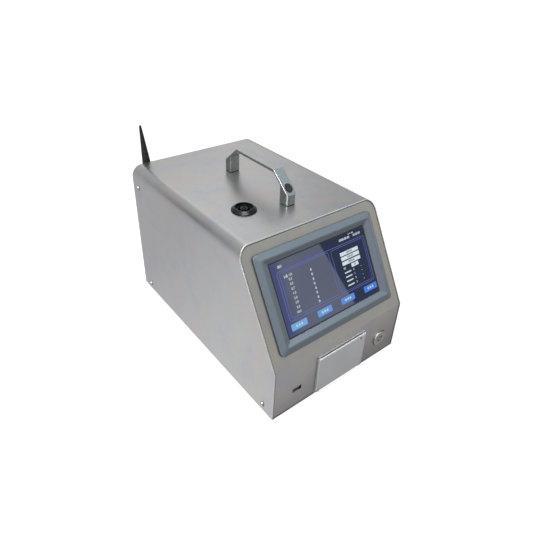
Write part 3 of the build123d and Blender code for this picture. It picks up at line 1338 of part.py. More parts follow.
with BuildPart() as aerial_whip:
    with BuildSketch(WHIP_SECTION):
        with BuildLine():
            Polyline(
                (0, SLEEVE_START),
                (AERIAL_RADIUS - 0.8, SLEEVE_START),
                (AERIAL_RADIUS, SLEEVE_START + 0.8),
                (AERIAL_RADIUS, SLEEVE_END),
                (WHIP_TIP_RADIUS, WHIP_LENGTH - 1),
                (WHIP_TIP_RADIUS - 0.8, WHIP_LENGTH),
                (0, WHIP_LENGTH),
                close=True,
            )
        make_face()
    revolve(axis=Axis(PIVOT, WHIP_UP))
    with BuildSketch(HINGE_PLANE):
        Circle(TONGUE_RADIUS)
        Rectangle(8, SLEEVE_START + 1, align=(Align.CENTER, Align.MIN))
        Circle(AERIAL_PIN_RADIUS + RUNNING, mode=Mode.SUBTRACT)
    extrude(amount=TONGUE / 2, both=True)

# ---- Write each piece ---------------------------------------------------------------------------------

pieces = {
    "outer_cover": outer_cover,
    "front_panel": front_panel,
    "base_tray": base_tray,
    "back_panel": back_panel,
    "cover_screws": cover_screws,
    "feet": feet,
    "foot_screws": foot_screws,
    "foot_nuts": foot_nuts,
    "screen_bezel": screen_bezel,
    "screen_gasket": screen_gasket,
    "touch_glass": touch_glass,
    "display_module": display_module,
    "screen_housing": screen_housing,
    "screen_clamps": screen_clamps,
    "printer_frame": printer_frame,
    "printer_door": printer_door,
    "door_light": door_light,
    "hinge_pin": hinge_pin,
    "platen_shaft": platen_shaft,
    "platen_roller": platen_roller,
    "platen_gear": platen_gear,
    "print_head": print_head,
    "paper_roll": paper_roll,
    "power_button_body": power_button_body,
    "power_button_cap": power_button_cap,
    "power_button_nut": power_button_nut,
    "power_button_base": power_button_base,
    "usb_socket": usb_socket,
    "handle": handle,
    "handle_plugs": handle_plugs,
    "handle_pads": handle_pads,
    "handle_screws": handle_screws,
    "inlet_flange": inlet_flange,
    "inlet_nozzle": inlet_nozzle,
    "inlet_nut": inlet_nut,
    "sensor_block": sensor_block,
    "laser_module": laser_module,
    "photodetector": photodetector,
    "sensor_bracket": sensor_bracket,
    "vacuum_pump": vacuum_pump,
    "pump_bracket": pump_bracket,
    "sample_tubes": sample_tubes,
    "exhaust_filter": exhaust_filter,
    "exhaust_fitting": exhaust_fitting,
    "main_board": main_board,
    "board_standoffs": board_standoffs,
    "battery_pack": battery_pack,
    "battery_clamp": battery_clamp,
    "power_supply": power_supply,
    "fan_frame": fan_frame,
    "fan_rotor": fan_rotor,
    "fan_guard": fan_guard,
    "fan_screws": fan_screws,
    "mains_inlet": mains_inlet,
    "network_port": network_port,
    "aerial_connector": aerial_connector,
    "aerial_elbow": aerial_elbow,
    "aerial_pin": aerial_pin,
    "aerial_whip": aerial_whip,
}
for label, piece in pieces.items():
    piece.part.label = label
    export_step(piece.part, f"parts/{label}.step")
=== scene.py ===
from math import cos, radians, sin

import bmesh
import bpy
from mathutils import Matrix, Vector


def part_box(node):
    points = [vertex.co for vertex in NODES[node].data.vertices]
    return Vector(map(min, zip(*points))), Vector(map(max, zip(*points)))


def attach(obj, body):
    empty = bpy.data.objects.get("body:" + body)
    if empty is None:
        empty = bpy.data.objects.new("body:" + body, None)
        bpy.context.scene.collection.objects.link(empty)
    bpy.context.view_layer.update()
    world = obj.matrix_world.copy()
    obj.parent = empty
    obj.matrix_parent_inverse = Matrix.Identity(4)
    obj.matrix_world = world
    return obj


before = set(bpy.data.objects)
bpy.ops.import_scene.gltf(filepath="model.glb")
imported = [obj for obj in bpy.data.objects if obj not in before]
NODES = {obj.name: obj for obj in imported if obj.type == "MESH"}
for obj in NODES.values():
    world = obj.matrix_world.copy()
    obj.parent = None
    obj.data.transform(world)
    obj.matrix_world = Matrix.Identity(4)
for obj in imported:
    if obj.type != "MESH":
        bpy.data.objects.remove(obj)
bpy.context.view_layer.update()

# Bench-top particle counter: finishes for the CAD nodes, the screen's picture, small trim, studio and camera.
# Metres, in the frame of the CAD model: X to the right along the front, Y to the back, Z up.

MM = 0.001

# ---- Shader building blocks ----------------------------------------------------------------------


def add_node(tree, kind, **settings):
    """New shader node of this kind with these properties."""
    node = tree.nodes.new("ShaderNode" + kind)
    for name, value in settings.items():
        setattr(node, name, value)
    return node


def noise(tree, stretch, detail=3.0, rough=0.5):
    """Noise over the object's own coordinates, with stretch features to the metre along X, Y and Z."""
    coordinates = add_node(tree, "TexCoord")
    mapping = add_node(tree, "Mapping")
    mapping.inputs["Scale"].default_value = stretch
    texture = add_node(tree, "TexNoise")
    texture.inputs["Scale"].default_value = 1.0
    texture.inputs["Detail"].default_value = detail
    texture.inputs["Roughness"].default_value = rough
    tree.links.new(coordinates.outputs["Object"], mapping.inputs["Vector"])
    tree.links.new(mapping.outputs["Vector"], texture.inputs["Vector"])
    return texture.outputs["Fac"]


def spread(tree, value, low, high):
    """The value's useful range, 0.3 to 0.7, mapped to low to high."""
    node = add_node(tree, "MapRange")
    node.inputs["From Min"].default_value = 0.3
    node.inputs["From Max"].default_value = 0.7
    node.inputs["To Min"].default_value = low
    node.inputs["To Max"].default_value = high
    tree.links.new(value, node.inputs["Value"])
    return node.outputs["Result"]


def blend_colours(tree, factor, first, second):
    """Mix of two colours, each a socket or an RGB triple."""
    node = add_node(tree, "Mix", data_type="RGBA")
    for index, value in ((0, factor), (6, first), (7, second)):
        if isinstance(value, bpy.types.NodeSocket):
            tree.links.new(value, node.inputs[index])
        elif isinstance(value, tuple):
            node.inputs[index].default_value = (*value, 1.0)
        else:
            node.inputs[index].default_value = value
    return node.outputs[2]


def bump(tree, height, strength, distance, normal=None):
    """Normal bumped by a height socket, distance in metres."""
    node = add_node(tree, "Bump")
    node.inputs["Strength"].default_value = strength
    node.inputs["Distance"].default_value = distance
    tree.links.new(height, node.inputs["Height"])
    if normal is not None:
        tree.links.new(normal, node.inputs["Normal"])
    return node.outputs["Normal"]


def rounded_edges(tree, radius):
    """Normal that rounds sharp edges over this radius."""
    node = add_node(tree, "Bevel", samples=4)
    node.inputs["Radius"].default_value = radius
    return node.outputs["Normal"]


def scaled(colour, factor):
    """Colour made lighter or darker."""
    return tuple(factor * c for c in colour)


def new_material(name):
    """Material with its tree and its Principled shader."""
    material = bpy.data.materials.new(name)
    material.use_nodes = True
    return material, material.node_tree, material.node_tree.nodes["Principled BSDF"]


# ---- Finishes ------------------------------------------------------------------------------------


# Grain of the steel, in features to the metre along X, Y and Z, and how far it moves the roughness.
STEEL_GRAIN = {"X": (7, 420, 420), "Y": (420, 7, 420)}
STEEL_GRAIN_DEPTH = 0.008
# Cool, warm and greenish patches: tint, features to the metre, and the ends of their spread.
STEEL_PATCHES = (
    ((0.93, 0.94, 1.0), 30, -0.9, 1.8),
    ((1.045, 0.975, 0.94), 22, -1.3, 1.7),
    ((0.985, 1.03, 0.94), 41, -1.5, 1.5),
)


def brushed_steel(name, colour, along, roughness=0.33, edge=0.4 * MM):
    """Stainless sheet with a faint grain along "X" or "Y" and slow cool, warm and greenish patches."""
    material, tree, shader = new_material(name)
    streaks = noise(tree, STEEL_GRAIN[along], 4.0, 0.65)
    shade = colour
    for tint, size, low, high in STEEL_PATCHES:
        patch_colour = tuple(c * t for c, t in zip(colour, tint))
        patches = noise(tree, (size, size, size), 6.0, 0.7)
        shade = blend_colours(tree, spread(tree, patches, low, high), shade, patch_colour)
    tree.links.new(shade, shader.inputs["Base Color"])
    smoother, rougher = roughness - STEEL_GRAIN_DEPTH, roughness + STEEL_GRAIN_DEPTH
    tree.links.new(spread(tree, streaks, smoother, rougher), shader.inputs["Roughness"])
    tree.links.new(rounded_edges(tree, edge), shader.inputs["Normal"])
    direction = add_node(tree, "CombineXYZ")
    direction.inputs[along].default_value = 1.0
    tree.links.new(direction.outputs["Vector"], shader.inputs["Tangent"])
    shader.inputs["Metallic"].default_value = 1.0
    shader.inputs["Anisotropic"].default_value = 0.3
    shader.inputs["Anisotropic Rotation"].default_value = 0.25
    return material


def plain_metal(name, colour, roughness=0.3, grain=2600, depth=0.02 * MM, edge=0.25 * MM):
    """Cast, turned or plated metal with a fine even grain."""
    material, tree, shader = new_material(name)
    grains = noise(tree, (grain, grain, grain), 2.0, 0.6)
    clouds = noise(tree, (60, 60, 60), 3.0, 0.5)
    clouded = blend_colours(tree, spread(tree, clouds, 0.0, 0.7), colour, scaled(colour, 0.82))
    tree.links.new(clouded, shader.inputs["Base Color"])
    tree.links.new(spread(tree, grains, roughness - 0.05, roughness + 0.06), shader.inputs["Roughness"])
    tree.links.new(bump(tree, grains, 0.2, depth, rounded_edges(tree, edge)), shader.inputs["Normal"])
    shader.inputs["Metallic"].default_value = 1.0
    return material


def moulded(name, colour, roughness=0.4, grain=1800, depth=0.03 * MM, coat=0.0, edge=0.3 * MM, gloss=0.5):
    """Moulded plastic or paint with a spark-eroded grain and slight shade changes."""
    material, tree, shader = new_material(name)
    grains = noise(tree, (grain, grain, grain), 2.0, 0.5)
    clouds = noise(tree, (35, 35, 35), 2.0, 0.5)
    clouded = blend_colours(tree, spread(tree, clouds, 0.0, 0.5), colour, scaled(colour, 0.85))
    tree.links.new(clouded, shader.inputs["Base Color"])
    tree.links.new(spread(tree, grains, roughness - 0.05, roughness + 0.05), shader.inputs["Roughness"])
    tree.links.new(bump(tree, grains, 0.25, depth, rounded_edges(tree, edge)), shader.inputs["Normal"])
    shader.inputs["Coat Weight"].default_value = coat
    shader.inputs["Coat Roughness"].default_value = 0.12
    shader.inputs["Specular IOR Level"].default_value = gloss
    return material


def rubber(name, colour, roughness=0.75, gloss=0.5, bloom=0.03):
    """Dull rubber with a dusty bloom."""
    material, tree, shader = new_material(name)
    dust = noise(tree, (300, 300, 300), 4.0, 0.6)
    paler = tuple(c + bloom for c in colour)
    dusted = blend_colours(tree, spread(tree, dust, 0.0, 1.0), colour, paler)
    tree.links.new(dusted, shader.inputs["Base Color"])
    tree.links.new(spread(tree, dust, roughness - 0.1, roughness + 0.1), shader.inputs["Roughness"])
    tree.links.new(bump(tree, dust, 0.2, 0.05 * MM), shader.inputs["Normal"])
    shader.inputs["Specular IOR Level"].default_value = gloss
    return material


def printed_board(name):
    """Green solder mask over a faint pattern of tracks."""
    material, tree, shader = new_material(name)
    tracks = add_node(tree, "TexBrick")
    coordinates = add_node(tree, "TexCoord")
    tracks.inputs["Color1"].default_value = (0.012, 0.12, 0.05, 1)
    tracks.inputs["Color2"].default_value = (0.016, 0.15, 0.06, 1)
    tracks.inputs["Mortar"].default_value = (0.03, 0.26, 0.1, 1)
    tracks.inputs["Scale"].default_value = 160.0
    tracks.inputs["Mortar Size"].default_value = 0.03
    tree.links.new(coordinates.outputs["Object"], tracks.inputs["Vector"])
    grains = noise(tree, (900, 900, 900))
    tree.links.new(tracks.outputs["Color"], shader.inputs["Base Color"])
    tree.links.new(spread(tree, grains, 0.3, 0.45), shader.inputs["Roughness"])
    return material


BEZEL_BLUE = (0.088, 0.108, 0.133)
BEZEL_GREY = (0.082, 0.105, 0.122)


def bezel_paint(name):
    """Blue-grey satin paint with a metallic cast, on the moulded frame of the screen."""
    material, tree, shader = new_material(name)
    grains = noise(tree, (2000, 2000, 2000), 2.0, 0.5)
    clouds = noise(tree, (40, 40, 40), 3.0, 0.5)
    tinted = blend_colours(tree, spread(tree, clouds, 0.0, 0.8), BEZEL_BLUE, BEZEL_GREY)
    tree.links.new(tinted, shader.inputs["Base Color"])
    tree.links.new(spread(tree, grains, 0.3, 0.38), shader.inputs["Roughness"])
    tree.links.new(bump(tree, grains, 0.2, 0.02 * MM, rounded_edges(tree, 0.4 * MM)), shader.inputs["Normal"])
    shader.inputs["Metallic"].default_value = 0.2
    return material


def screen_glass(name):
    """Black glass over the dark edge of the display."""
    material, tree, shader = new_material(name)
    smears = noise(tree, (90, 90, 90), 3.0, 0.6)
    smeared = blend_colours(tree, smears, (0.010, 0.011, 0.014), (0.016, 0.017, 0.021))
    tree.links.new(smeared, shader.inputs["Base Color"])
    tree.links.new(spread(tree, smears, 0.05, 0.1), shader.inputs["Roughness"])
    return material


finishes = {
    "cover": brushed_steel("cover_steel", (0.352, 0.353, 0.36), "Y"),
    "panel": brushed_steel("panel_steel", (0.355, 0.349, 0.34), "X"),
    "sheet": brushed_steel("sheet_steel", (0.36, 0.36, 0.36), "X", 0.36),
    "inner_sheet": plain_metal("inner_sheet_steel", (0.55, 0.55, 0.54), 0.38, 900),
    "handle": plain_metal("handle_aluminium", (0.35, 0.362, 0.362), 0.25, 1500, 0.006 * MM, 0.25 * MM),
    "screw": plain_metal("screw_steel", (0.42, 0.42, 0.42), 0.2, 3000, 0.01 * MM, 0.2 * MM),
    "button": brushed_steel("button_steel", (0.34, 0.34, 0.335), "X", 0.5, 0.1 * MM),
    "brass": plain_metal("plated_brass", (0.66, 0.55, 0.34), 0.28),
    "guard": moulded("guard_black_steel", (0.012, 0.012, 0.013), 0.42, 1500, 0.02 * MM, 0.2),
    "bezel": bezel_paint("bezel_paint"),
    "printer": moulded("printer_plastic", (0.34, 0.34, 0.35), 0.42),
    "door": moulded("door_paint", (0.42, 0.425, 0.44), 0.36, 2600, 0.015 * MM, 0.1, 0.1 * MM),
    "black": moulded("black_plastic", (0.012, 0.012, 0.014), 0.42),
    "gloss_black": moulded("inlet_black", (0.003, 0.004, 0.005), 0.24, 2600, 0.003 * MM, 0.0, 0.3 * MM, 0.17),
    "plug": moulded("plug_plastic", (0.008, 0.008, 0.009), 0.5, 1200, 0.03 * MM, gloss=0.25),
    "white_plastic": moulded("white_plastic", (0.6, 0.6, 0.57), 0.45),
    "paper": moulded("printer_paper", (0.78, 0.77, 0.73), 0.85, 700),
    "rubber": rubber("black_rubber", (0.016, 0.016, 0.017)),
    "aerial": rubber("aerial_rubber", (0.005, 0.005, 0.006), 0.45, 0.2, 0.004),
    "tube": moulded("silicone_tube", (0.5, 0.52, 0.5), 0.3, 400, 0.02 * MM, 0.3),
    "battery": moulded("battery_wrap", (0.02, 0.09, 0.22), 0.35, 500, 0.02 * MM, 0.3),
    "board": printed_board("printed_board"),
    "glass": screen_glass("screen_glass"),
    "machined": plain_metal("machined_aluminium", (0.5, 0.5, 0.52), 0.32, 700, 0.02 * MM),
    "black_metal": plain_metal("black_anodised", (0.06, 0.06, 0.065), 0.35),
}

node_finish = {
    "outer_cover": "cover",
    "front_panel": "panel",
    "base_tray": "sheet",
    "back_panel": "sheet",
    "cover_screws": "screw",
    "feet": "rubber",
    "foot_screws": "screw",
    "foot_nuts": "screw",
    "screen_bezel": "bezel",
    "screen_gasket": "rubber",
    "touch_glass": "glass",
    "display_module": "inner_sheet",
    "screen_housing": "black",
    "screen_clamps": "inner_sheet",
    "printer_frame": "printer",
    "printer_door": "door",
    "door_light": "plug",
    "hinge_pin": "screw",
    "platen_shaft": "screw",
    "platen_roller": "rubber",
    "platen_gear": "white_plastic",
    "print_head": "black_metal",
    "paper_roll": "paper",
    "power_button_body": "button",
    "power_button_cap": "button",
    "power_button_nut": "brass",
    "power_button_base": "black",
    "usb_socket": "black_metal",
    "handle": "handle",
    "handle_plugs": "plug",
    "handle_pads": "rubber",
    "handle_screws": "screw",
    "inlet_flange": "gloss_black",
    "inlet_nozzle": "gloss_black",
    "inlet_nut": "brass",
    "sensor_block": "machined",
    "laser_module": "black_metal",
    "photodetector": "black_metal",
    "sensor_bracket": "inner_sheet",
    "vacuum_pump": "black_metal",
    "pump_bracket": "inner_sheet",
    "sample_tubes": "tube",
    "exhaust_filter": "white_plastic",
    "exhaust_fitting": "brass",
    "main_board": "board",
    "board_standoffs": "brass",
    "battery_pack": "battery",
    "battery_clamp": "inner_sheet",
    "power_supply": "inner_sheet",
    "fan_frame": "black",
    "fan_rotor": "black",
    "fan_guard": "guard",
    "fan_screws": "screw",
    "mains_inlet": "black",
    "network_port": "screw",
    "aerial_connector": "brass",
    "aerial_elbow": "black",
    "aerial_pin": "black_metal",
    "aerial_whip": "aerial",
}
for node_name, finish in node_finish.items():
    mesh = NODES[node_name].data
    mesh.materials.clear()
    mesh.materials.append(finishes[finish])

# ---- Screen picture ------------------------------------------------------------------------------

SLOPE_ANGLE = radians(60)
GLASS_THICKNESS = 3.0 * MM
glass_low, glass_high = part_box("touch_glass")
up_slope = Vector((0, cos(SLOPE_ANGLE), sin(SLOPE_ANGLE)))
slope_out = Vector((0, -sin(SLOPE_ANGLE), cos(SLOPE_ANGLE)))
screen_middle = (glass_low + glass_high) / 2 + slope_out * GLASS_THICKNESS / 2
screen_turn = Matrix(((1, 0, 0), (0, up_slope.y, slope_out.y), (0, up_slope.z, slope_out.z)))
SCREEN_PLACE = Matrix.Translation(screen_middle) @ screen_turn.to_4x4()


def add_piece(name, mesh, material, body):
    """Piece with this mesh and material that moves with a body."""
    mesh.materials.append(material)
    piece = bpy.data.objects.new(name, mesh)
    bpy.context.scene.collection.objects.link(piece)
    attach(piece, body)


class Layer:
    """Flat figures on one plane, collected in one mesh. Points are millimetres in that plane."""

    def __init__(self, height):
        self.mesh = bmesh.new()
        self.height = height * MM

    def corner(self, x, y):
        return self.mesh.verts.new((x * MM, y * MM, self.height))

    def polygon(self, points):
        self.mesh.faces.new([self.corner(*p) for p in points])

    def box(self, left, bottom, right, top, radius=0.0):
        self.polygon(rounded_box(left, bottom, right, top, radius))

    def frame(self, left, bottom, right, top, radius, line):
        outer = rounded_box(left, bottom, right, top, radius)
        inner = rounded_box(left + line, bottom + line, right - line, top - line, max(radius - line, 0.05))
        outer_corners = [self.corner(*p) for p in outer]
        inner_corners = [self.corner(*p) for p in inner]
        for i in range(len(outer)):
            j = (i + 1) % len(outer)
            self.mesh.faces.new((outer_corners[i], outer_corners[j], inner_corners[j], inner_corners[i]))

    def text(self, words, x, y, size, align="LEFT", weight=0.03):
        curve = bpy.data.curves.new("words", "FONT")
        curve.body = words
        curve.size = size * MM
        curve.offset = weight * size * MM
        curve.align_x = align
        curve.align_y = "CENTER"
        holder = bpy.data.objects.new("words", curve)
        flat = bpy.data.meshes.new_from_object(holder)
        flat.transform(Matrix.Translation((x * MM, y * MM, self.height)))
        self.mesh.from_mesh(flat)
        bpy.data.objects.remove(holder)
        bpy.data.curves.remove(curve)
        bpy.data.meshes.remove(flat)

    def finish(self, name, material):
        """Lays the figures on the screen, as one piece of the case."""
        mesh = bpy.data.meshes.new(name)
        self.mesh.to_mesh(mesh)
        self.mesh.free()
        mesh.transform(SCREEN_PLACE)
        add_piece(name, mesh, material, "case")


def rounded_box(left, bottom, right, top, radius, steps=4):
    """Corner points of a box with round corners, anticlockwise."""
    if radius <= 0:
        return [(left, bottom), (right, bottom), (right, top), (left, top)]
    points = []
    middles = (
        (right - radius, top - radius, 0),
        (left + radius, top - radius, 90),
        (left + radius, bottom + radius, 180),
        (right - radius, bottom + radius, 270),
    )
    for x, y, start in middles:
        for step in range(steps + 1):
            turn = radians(start + 90 * step / steps)
            points.append((x + radius * cos(turn), y + radius * sin(turn)))
    return points


UNLIT = (0.004, 0.004, 0.005, 1)
DISPLAY_GLOSS = 0.3


def lit(name, colour, glow=0.9):
    """Lit part of the display."""
    material, tree, shader = new_material(name)
    shimmer = noise(tree, (260, 260, 260), 2.0, 0.5)
    tinted = blend_colours(tree, spread(tree, shimmer, 0.0, 0.6), colour, scaled(colour, 0.9))
    tree.links.new(tinted, shader.inputs["Emission Color"])
    shader.inputs["Base Color"].default_value = UNLIT
    shader.inputs["Emission Strength"].default_value = glow
    shader.inputs["Roughness"].default_value = 0.2
    shader.inputs["Specular IOR Level"].default_value = DISPLAY_GLOSS
    return material


# Wallpaper, in millimetres from the middle of the screen: its edges, the slant of the line between its
# two fields with the ends of the change there, and the end of the blue margin on its left. The paler
# field on the left is a painted reflection on the glass.
WALLPAPER = (-76.4, -44.3, 75.9, 44.6)
REFLECTION_SLANT = 0.385
REFLECTION_CHANGE = (14.5, 18.5)
MARGIN_END = -56.0
MARGIN_BLUE = (0.042, 0.05, 0.16)
# Greys of the painted reflection on the left of the screen.
REFLECTION_GREYS = ((0.092, 0.108, 0.158), (0.075, 0.09, 0.14))
FIELD_BLUE = (0.002, 0.012, 0.046)


def smooth_step(tree, value, low, high):
    """Goes softly from 0 to 1 while the value goes from low to high."""
    node = add_node(tree, "MapRange", interpolation_type="SMOOTHSTEP")
    node.inputs["From Min"].default_value = low
    node.inputs["From Max"].default_value = high
    tree.links.new(value, node.inputs["Value"])
    return node.outputs["Result"]


def screen_wallpaper(name):
    """Dark blue wallpaper with a paler grey-blue field on its left, along a slanting line."""
    material, tree, shader = new_material(name)
    coordinates = add_node(tree, "TexCoord")
    separate = add_node(tree, "SeparateXYZ")
    tree.links.new(coordinates.outputs["Object"], separate.inputs["Vector"])
    slant = add_node(tree, "Math", operation="MULTIPLY_ADD")
    slant.inputs[1].default_value = REFLECTION_SLANT
    tree.links.new(separate.outputs["Z"], slant.inputs[0])
    tree.links.new(separate.outputs["X"], slant.inputs[2])
    start, end = (screen_middle.z * REFLECTION_SLANT + x * MM for x in REFLECTION_CHANGE)
    # Painted reflection: the paler field lies left of the slanting line.
    side = smooth_step(tree, slant.outputs["Value"], start, end)
    clouds = noise(tree, (18, 18, 18), 3.0, 0.5)
    reflection_grey = blend_colours(tree, spread(tree, clouds, 0.0, 1.0), *REFLECTION_GREYS)
    margin = smooth_step(tree, separate.outputs["X"], WALLPAPER[0] * MM, MARGIN_END * MM)
    margin_and_reflection = blend_colours(tree, margin, MARGIN_BLUE, reflection_grey)
    colour = blend_colours(tree, side, margin_and_reflection, FIELD_BLUE)
    tree.links.new(colour, shader.inputs["Emission Color"])
    shader.inputs["Base Color"].default_value = UNLIT
    shader.inputs["Emission Strength"].default_value = 1.0
    shader.inputs["Roughness"].default_value = 0.12
    shader.inputs["Specular IOR Level"].default_value = DISPLAY_GLOSS
    return material


# Heights of the rows and ends of the buttons, in millimetres from the middle of the screen.
ROWS = (19.8, 14.1, 8.1, 2.4, -3.5, -9.0, -15.0, -20.5)
CHANNELS = ("0.3", "0.5", "0.7", "1.0", "2.0", "3.0", "5.0", "10.0")
FIELD_ROWS = (20.9, 15.0, 8.8)
VALUE_ROWS = (-3.1, -8.6, -14.1, -19.8)
BUTTON_SPANS = ((-70.4, -46.2), (-29.0, -5.5), (11.0, 34.5), (52.4, 75.9))


def screen_picture():
    """The measuring page: two framed fields with counts and settings over four buttons."""
    wallpaper = Layer(0.05)
    wallpaper.box(*WALLPAPER)
    wallpaper.finish("screen_wallpaper", screen_wallpaper("screen_wallpaper"))

    lines = Layer(0.09)
    lines.frame(-69.6, -27.5, 74.9, 33.0, 3.0, 0.55)
    lines.frame(-66.2, -24.4, 11.2, 30.9, 2.0, 0.5)
    lines.frame(15.2, -25.3, 72.2, 30.8, 2.0, 0.5)
    lines.finish("screen_lines", lit("screen_line_blue", (0.13, 0.17, 0.58)))
    tab = Layer(0.07)
    tab.polygon(((-46, 33.2), (-40, 36.2), (-8, 36.2), (-2, 33.2)))
    tab.finish("screen_tab", lit("screen_tab_violet", (0.095, 0.1, 0.24)))

    digits = Layer(0.13)
    digits.text("001", -66.0, 38.1, 4.2, "LEFT", 0.05)
    digits.text("0000-00-00", 33.0, 38.1, 3.9, "LEFT", 0.05)
    digits.text("00:00:00", 57.5, 38.1, 3.9)
    digits.box(50.0, 41.2, 51.4, 42.6)
    digits.box(53.0, 41.2, 54.4, 42.6)
    digits.box(56.0, 41.2, 59.0, 42.6)
    digits.text("1-8", -61.6, 24.6, 4.4, "LEFT", 0.06)
    digits.text("/10", -54.0, 24.6, 4.0)
    for channel, y in zip(CHANNELS, ROWS):
        digits.text(channel, -50.5, y, 4.0, "RIGHT")
        digits.text("0", -21.0, y, 3.9, "CENTER", 0.07)
    digits.text("60", 28.6, 2.8, 3.6)
    for number, y in enumerate(VALUE_ROWS):
        digits.box(28.6, y - 0.9, 40.0, y + 0.9)
        digits.text(str(number), 44.7, y, 3.4, "CENTER")
        digits.box(57.4, y - 0.4, 58.4, y + 0.4)
    digits.finish("screen_digits", lit("screen_white", (0.62, 0.66, 0.72)))

    fields = Layer(0.12)
    for y in FIELD_ROWS:
        fields.box(28.6, y - 2.3, 60.5, y + 2.3, 0.4)
    fields.box(42.5, 0.4, 55.0, 5.1, 0.4)
    fields.finish("screen_fields", lit("screen_field_white", (0.68, 0.76, 0.84), 0.95))

    entries = Layer(0.16)
    for y in FIELD_ROWS:
        entries.text("0000.00", 44.5, y, 3.2, "CENTER")
    entries.text("28", 48.8, 2.8, 3.4, "CENTER")
    entries.finish("screen_entries", lit("screen_ink", (0.25, 0.28, 0.36), 0.4))

    for number, (left, right) in enumerate(BUTTON_SPANS):
        paleness = 1 - number / 3
        colour = (0.06 + 0.12 * paleness, 0.2 + 0.22 * paleness, 0.78 + 0.02 * paleness)
        button = Layer(0.12)
        button.box(left, -38.9, right, -30.8, 1.2)
        button.finish(f"screen_button_{number}", lit(f"screen_blue_{number}", colour))
    icons = Layer(0.16)
    for left, right in BUTTON_SPANS:
        middle = (left + right) / 2
        for offset in (-4.0, 0.0, 4.0):
            icons.box(middle + offset - 1.4, -36.2, middle + offset + 1.4, -33.4, 0.3)
    icons.finish("screen_icons", lit("screen_pale_blue", (0.45, 0.68, 0.9)))


screen_picture()

# ---- Small trim ----------------------------------------------------------------------------------

# Outline of the cover seen from the front, in millimetres.
COVER_HALF = 110.0
COVER_BOTTOM = 8.0
COVER_TOP = 216.0
FOLD_HEIGHT = 84.5
FRONT_FACE = -176.65
COVER_BEND = 16.5
SHEET = 1.5
RECESS = 0.6

# Trim, in millimetres: how far it stands off a surface.
TRIM_LIFT = 0.06
SEAM_LIFT = TRIM_LIFT - RECESS
# Width of the painted shade in the seam round the front panel.
SEAM_SHADE_WIDTH = 0.7
# Rounded strip of lighter, glossier steel on the cover's front edge. It catches the key light and paints the
# highlight brighter: where it starts and ends, from the edge, and its lift.
RIM_LIFT = 0.04
RIM_REACH = 1.0
RIM_TURN = 0.3
BEZEL_HALF = (95.04, 61.04)
BEZEL_CORNER = 5.0
BEZEL_MIDDLE = (COVER_TOP - FOLD_HEIGHT) / sin(SLOPE_ANGLE) / 2
# Height of the painted shade round the foot of the bezel.
BEZEL_SHADE_TOP = 0.9
# Painted shade along the bottom of the front, where the underside is in shade: its heights and its spans.
LOW_EDGE = (COVER_BOTTOM + 0.1, COVER_BOTTOM + 1.5)
LOW_EDGE_SPANS = {"left": (-108.4, -41.4), "right": (41.4, 108.4)}
# Power button: its middle, how far head and cap stand out, and the inner and outer radius of each ring.
BUTTON_AT = (77.0, 38.5)
BUTTON_HEAD_OUT = 0.5
BUTTON_CAP_OUT = 0.9
BUTTON_LIFT = 0.02
# Ring of painted shade round the button's head, on the panel.
BUTTON_GAP_SHADE = (11.0, 12.1)
# Ring of lighter steel on the button's head: a painted highlight.
BUTTON_HIGHLIGHT_RING = (10.2, 10.85)
MARK_RING = (3.2, 4.5)
MARK_RING_ENDS = (25, 335)
MARK_BAR = (-0.6, 0.6, 0.6, 5.2)
PORT_AT = (-72.6, 38.2)
PORT_DEPTH = 0.8
# Left, bottom, right and top of each contact in the port, from its middle.
PORT_CONTACTS = ((-5.6, -2.1, 2.4, -1.5), (-5.6, -0.2, 4.6, 0.5))
# Screws on each side of the cover, at Y and Z, and the ring of shade beside each.
COVER_SCREWS = ((149.95, 187.5), (143.35, 18.5), (-155.65, 18.5))
SHADE_SHIFT = (-1.3, -0.5)
SHADE_RING = (1.9, 3.1)


def front_point(x, z, lift):
    """Point on the front, this far out from its surface, at x and z."""
    if z < FOLD_HEIGHT - 0.01:
        return x * MM, (FRONT_FACE - lift) * MM, z * MM
    y = FRONT_FACE + (z - FOLD_HEIGHT) * cos(SLOPE_ANGLE) / sin(SLOPE_ANGLE)
    return x * MM, (y - lift * sin(SLOPE_ANGLE)) * MM, (z + lift * cos(SLOPE_ANGLE)) * MM


def cover_line(inset):
    """Front outline of the cover, moved inwards, from the left foot over the top to the right foot."""
    half, radius, middle = COVER_HALF - inset, COVER_BEND - inset, COVER_TOP - COVER_BEND
    points = [(-half, COVER_BOTTOM + 0.4), (-half, FOLD_HEIGHT - 0.02), (-half, FOLD_HEIGHT), (-half, middle)]
    for step in range(1, 19):
        turn = radians(5 * step)
        points.append((-COVER_HALF + COVER_BEND - radius * cos(turn), middle + radius * sin(turn)))
    return points + [(-x, z) for x, z in reversed(points)]


def rim_lines():
    """Four lines round the front edge of the cover: two on its outside and two on its cut face."""
    lines = ([], [], [], [])
    edge_points, inner_points = cover_line(0), cover_line(1)
    for edge_point, inner_point in zip(edge_points, inner_points):
        edge = Vector(front_point(*edge_point, 0)) / MM
        outward = Vector((edge_point[0] - inner_point[0], 0, edge_point[1] - inner_point[1])).normalized()
        out = Vector((0, -1, 0)) if edge_point[1] < FOLD_HEIGHT - 0.01 else slope_out
        across = (Vector(front_point(*inner_point, 0)) / MM - edge).normalized()
        lines[0].append((edge + Vector((0, RIM_REACH, 0)) + RIM_LIFT * outward) * MM)
        lines[1].append((edge + Vector((0, RIM_TURN, 0)) + RIM_LIFT * outward) * MM)
        lines[2].append((edge + RIM_TURN * across + RIM_LIFT * out) * MM)
        lines[3].append((edge + RIM_REACH * across + RIM_LIFT * out) * MM)
    return lines


def trim_piece(name, vertices, faces, material, slot, body="case", smooth=False):
    """Thin piece of trim that moves with a body."""
    mesh = bpy.data.meshes.new(name)
    mesh.from_pydata(vertices, [], faces)
    if smooth:
        mesh.shade_smooth()
    add_piece(name, mesh, material, body)


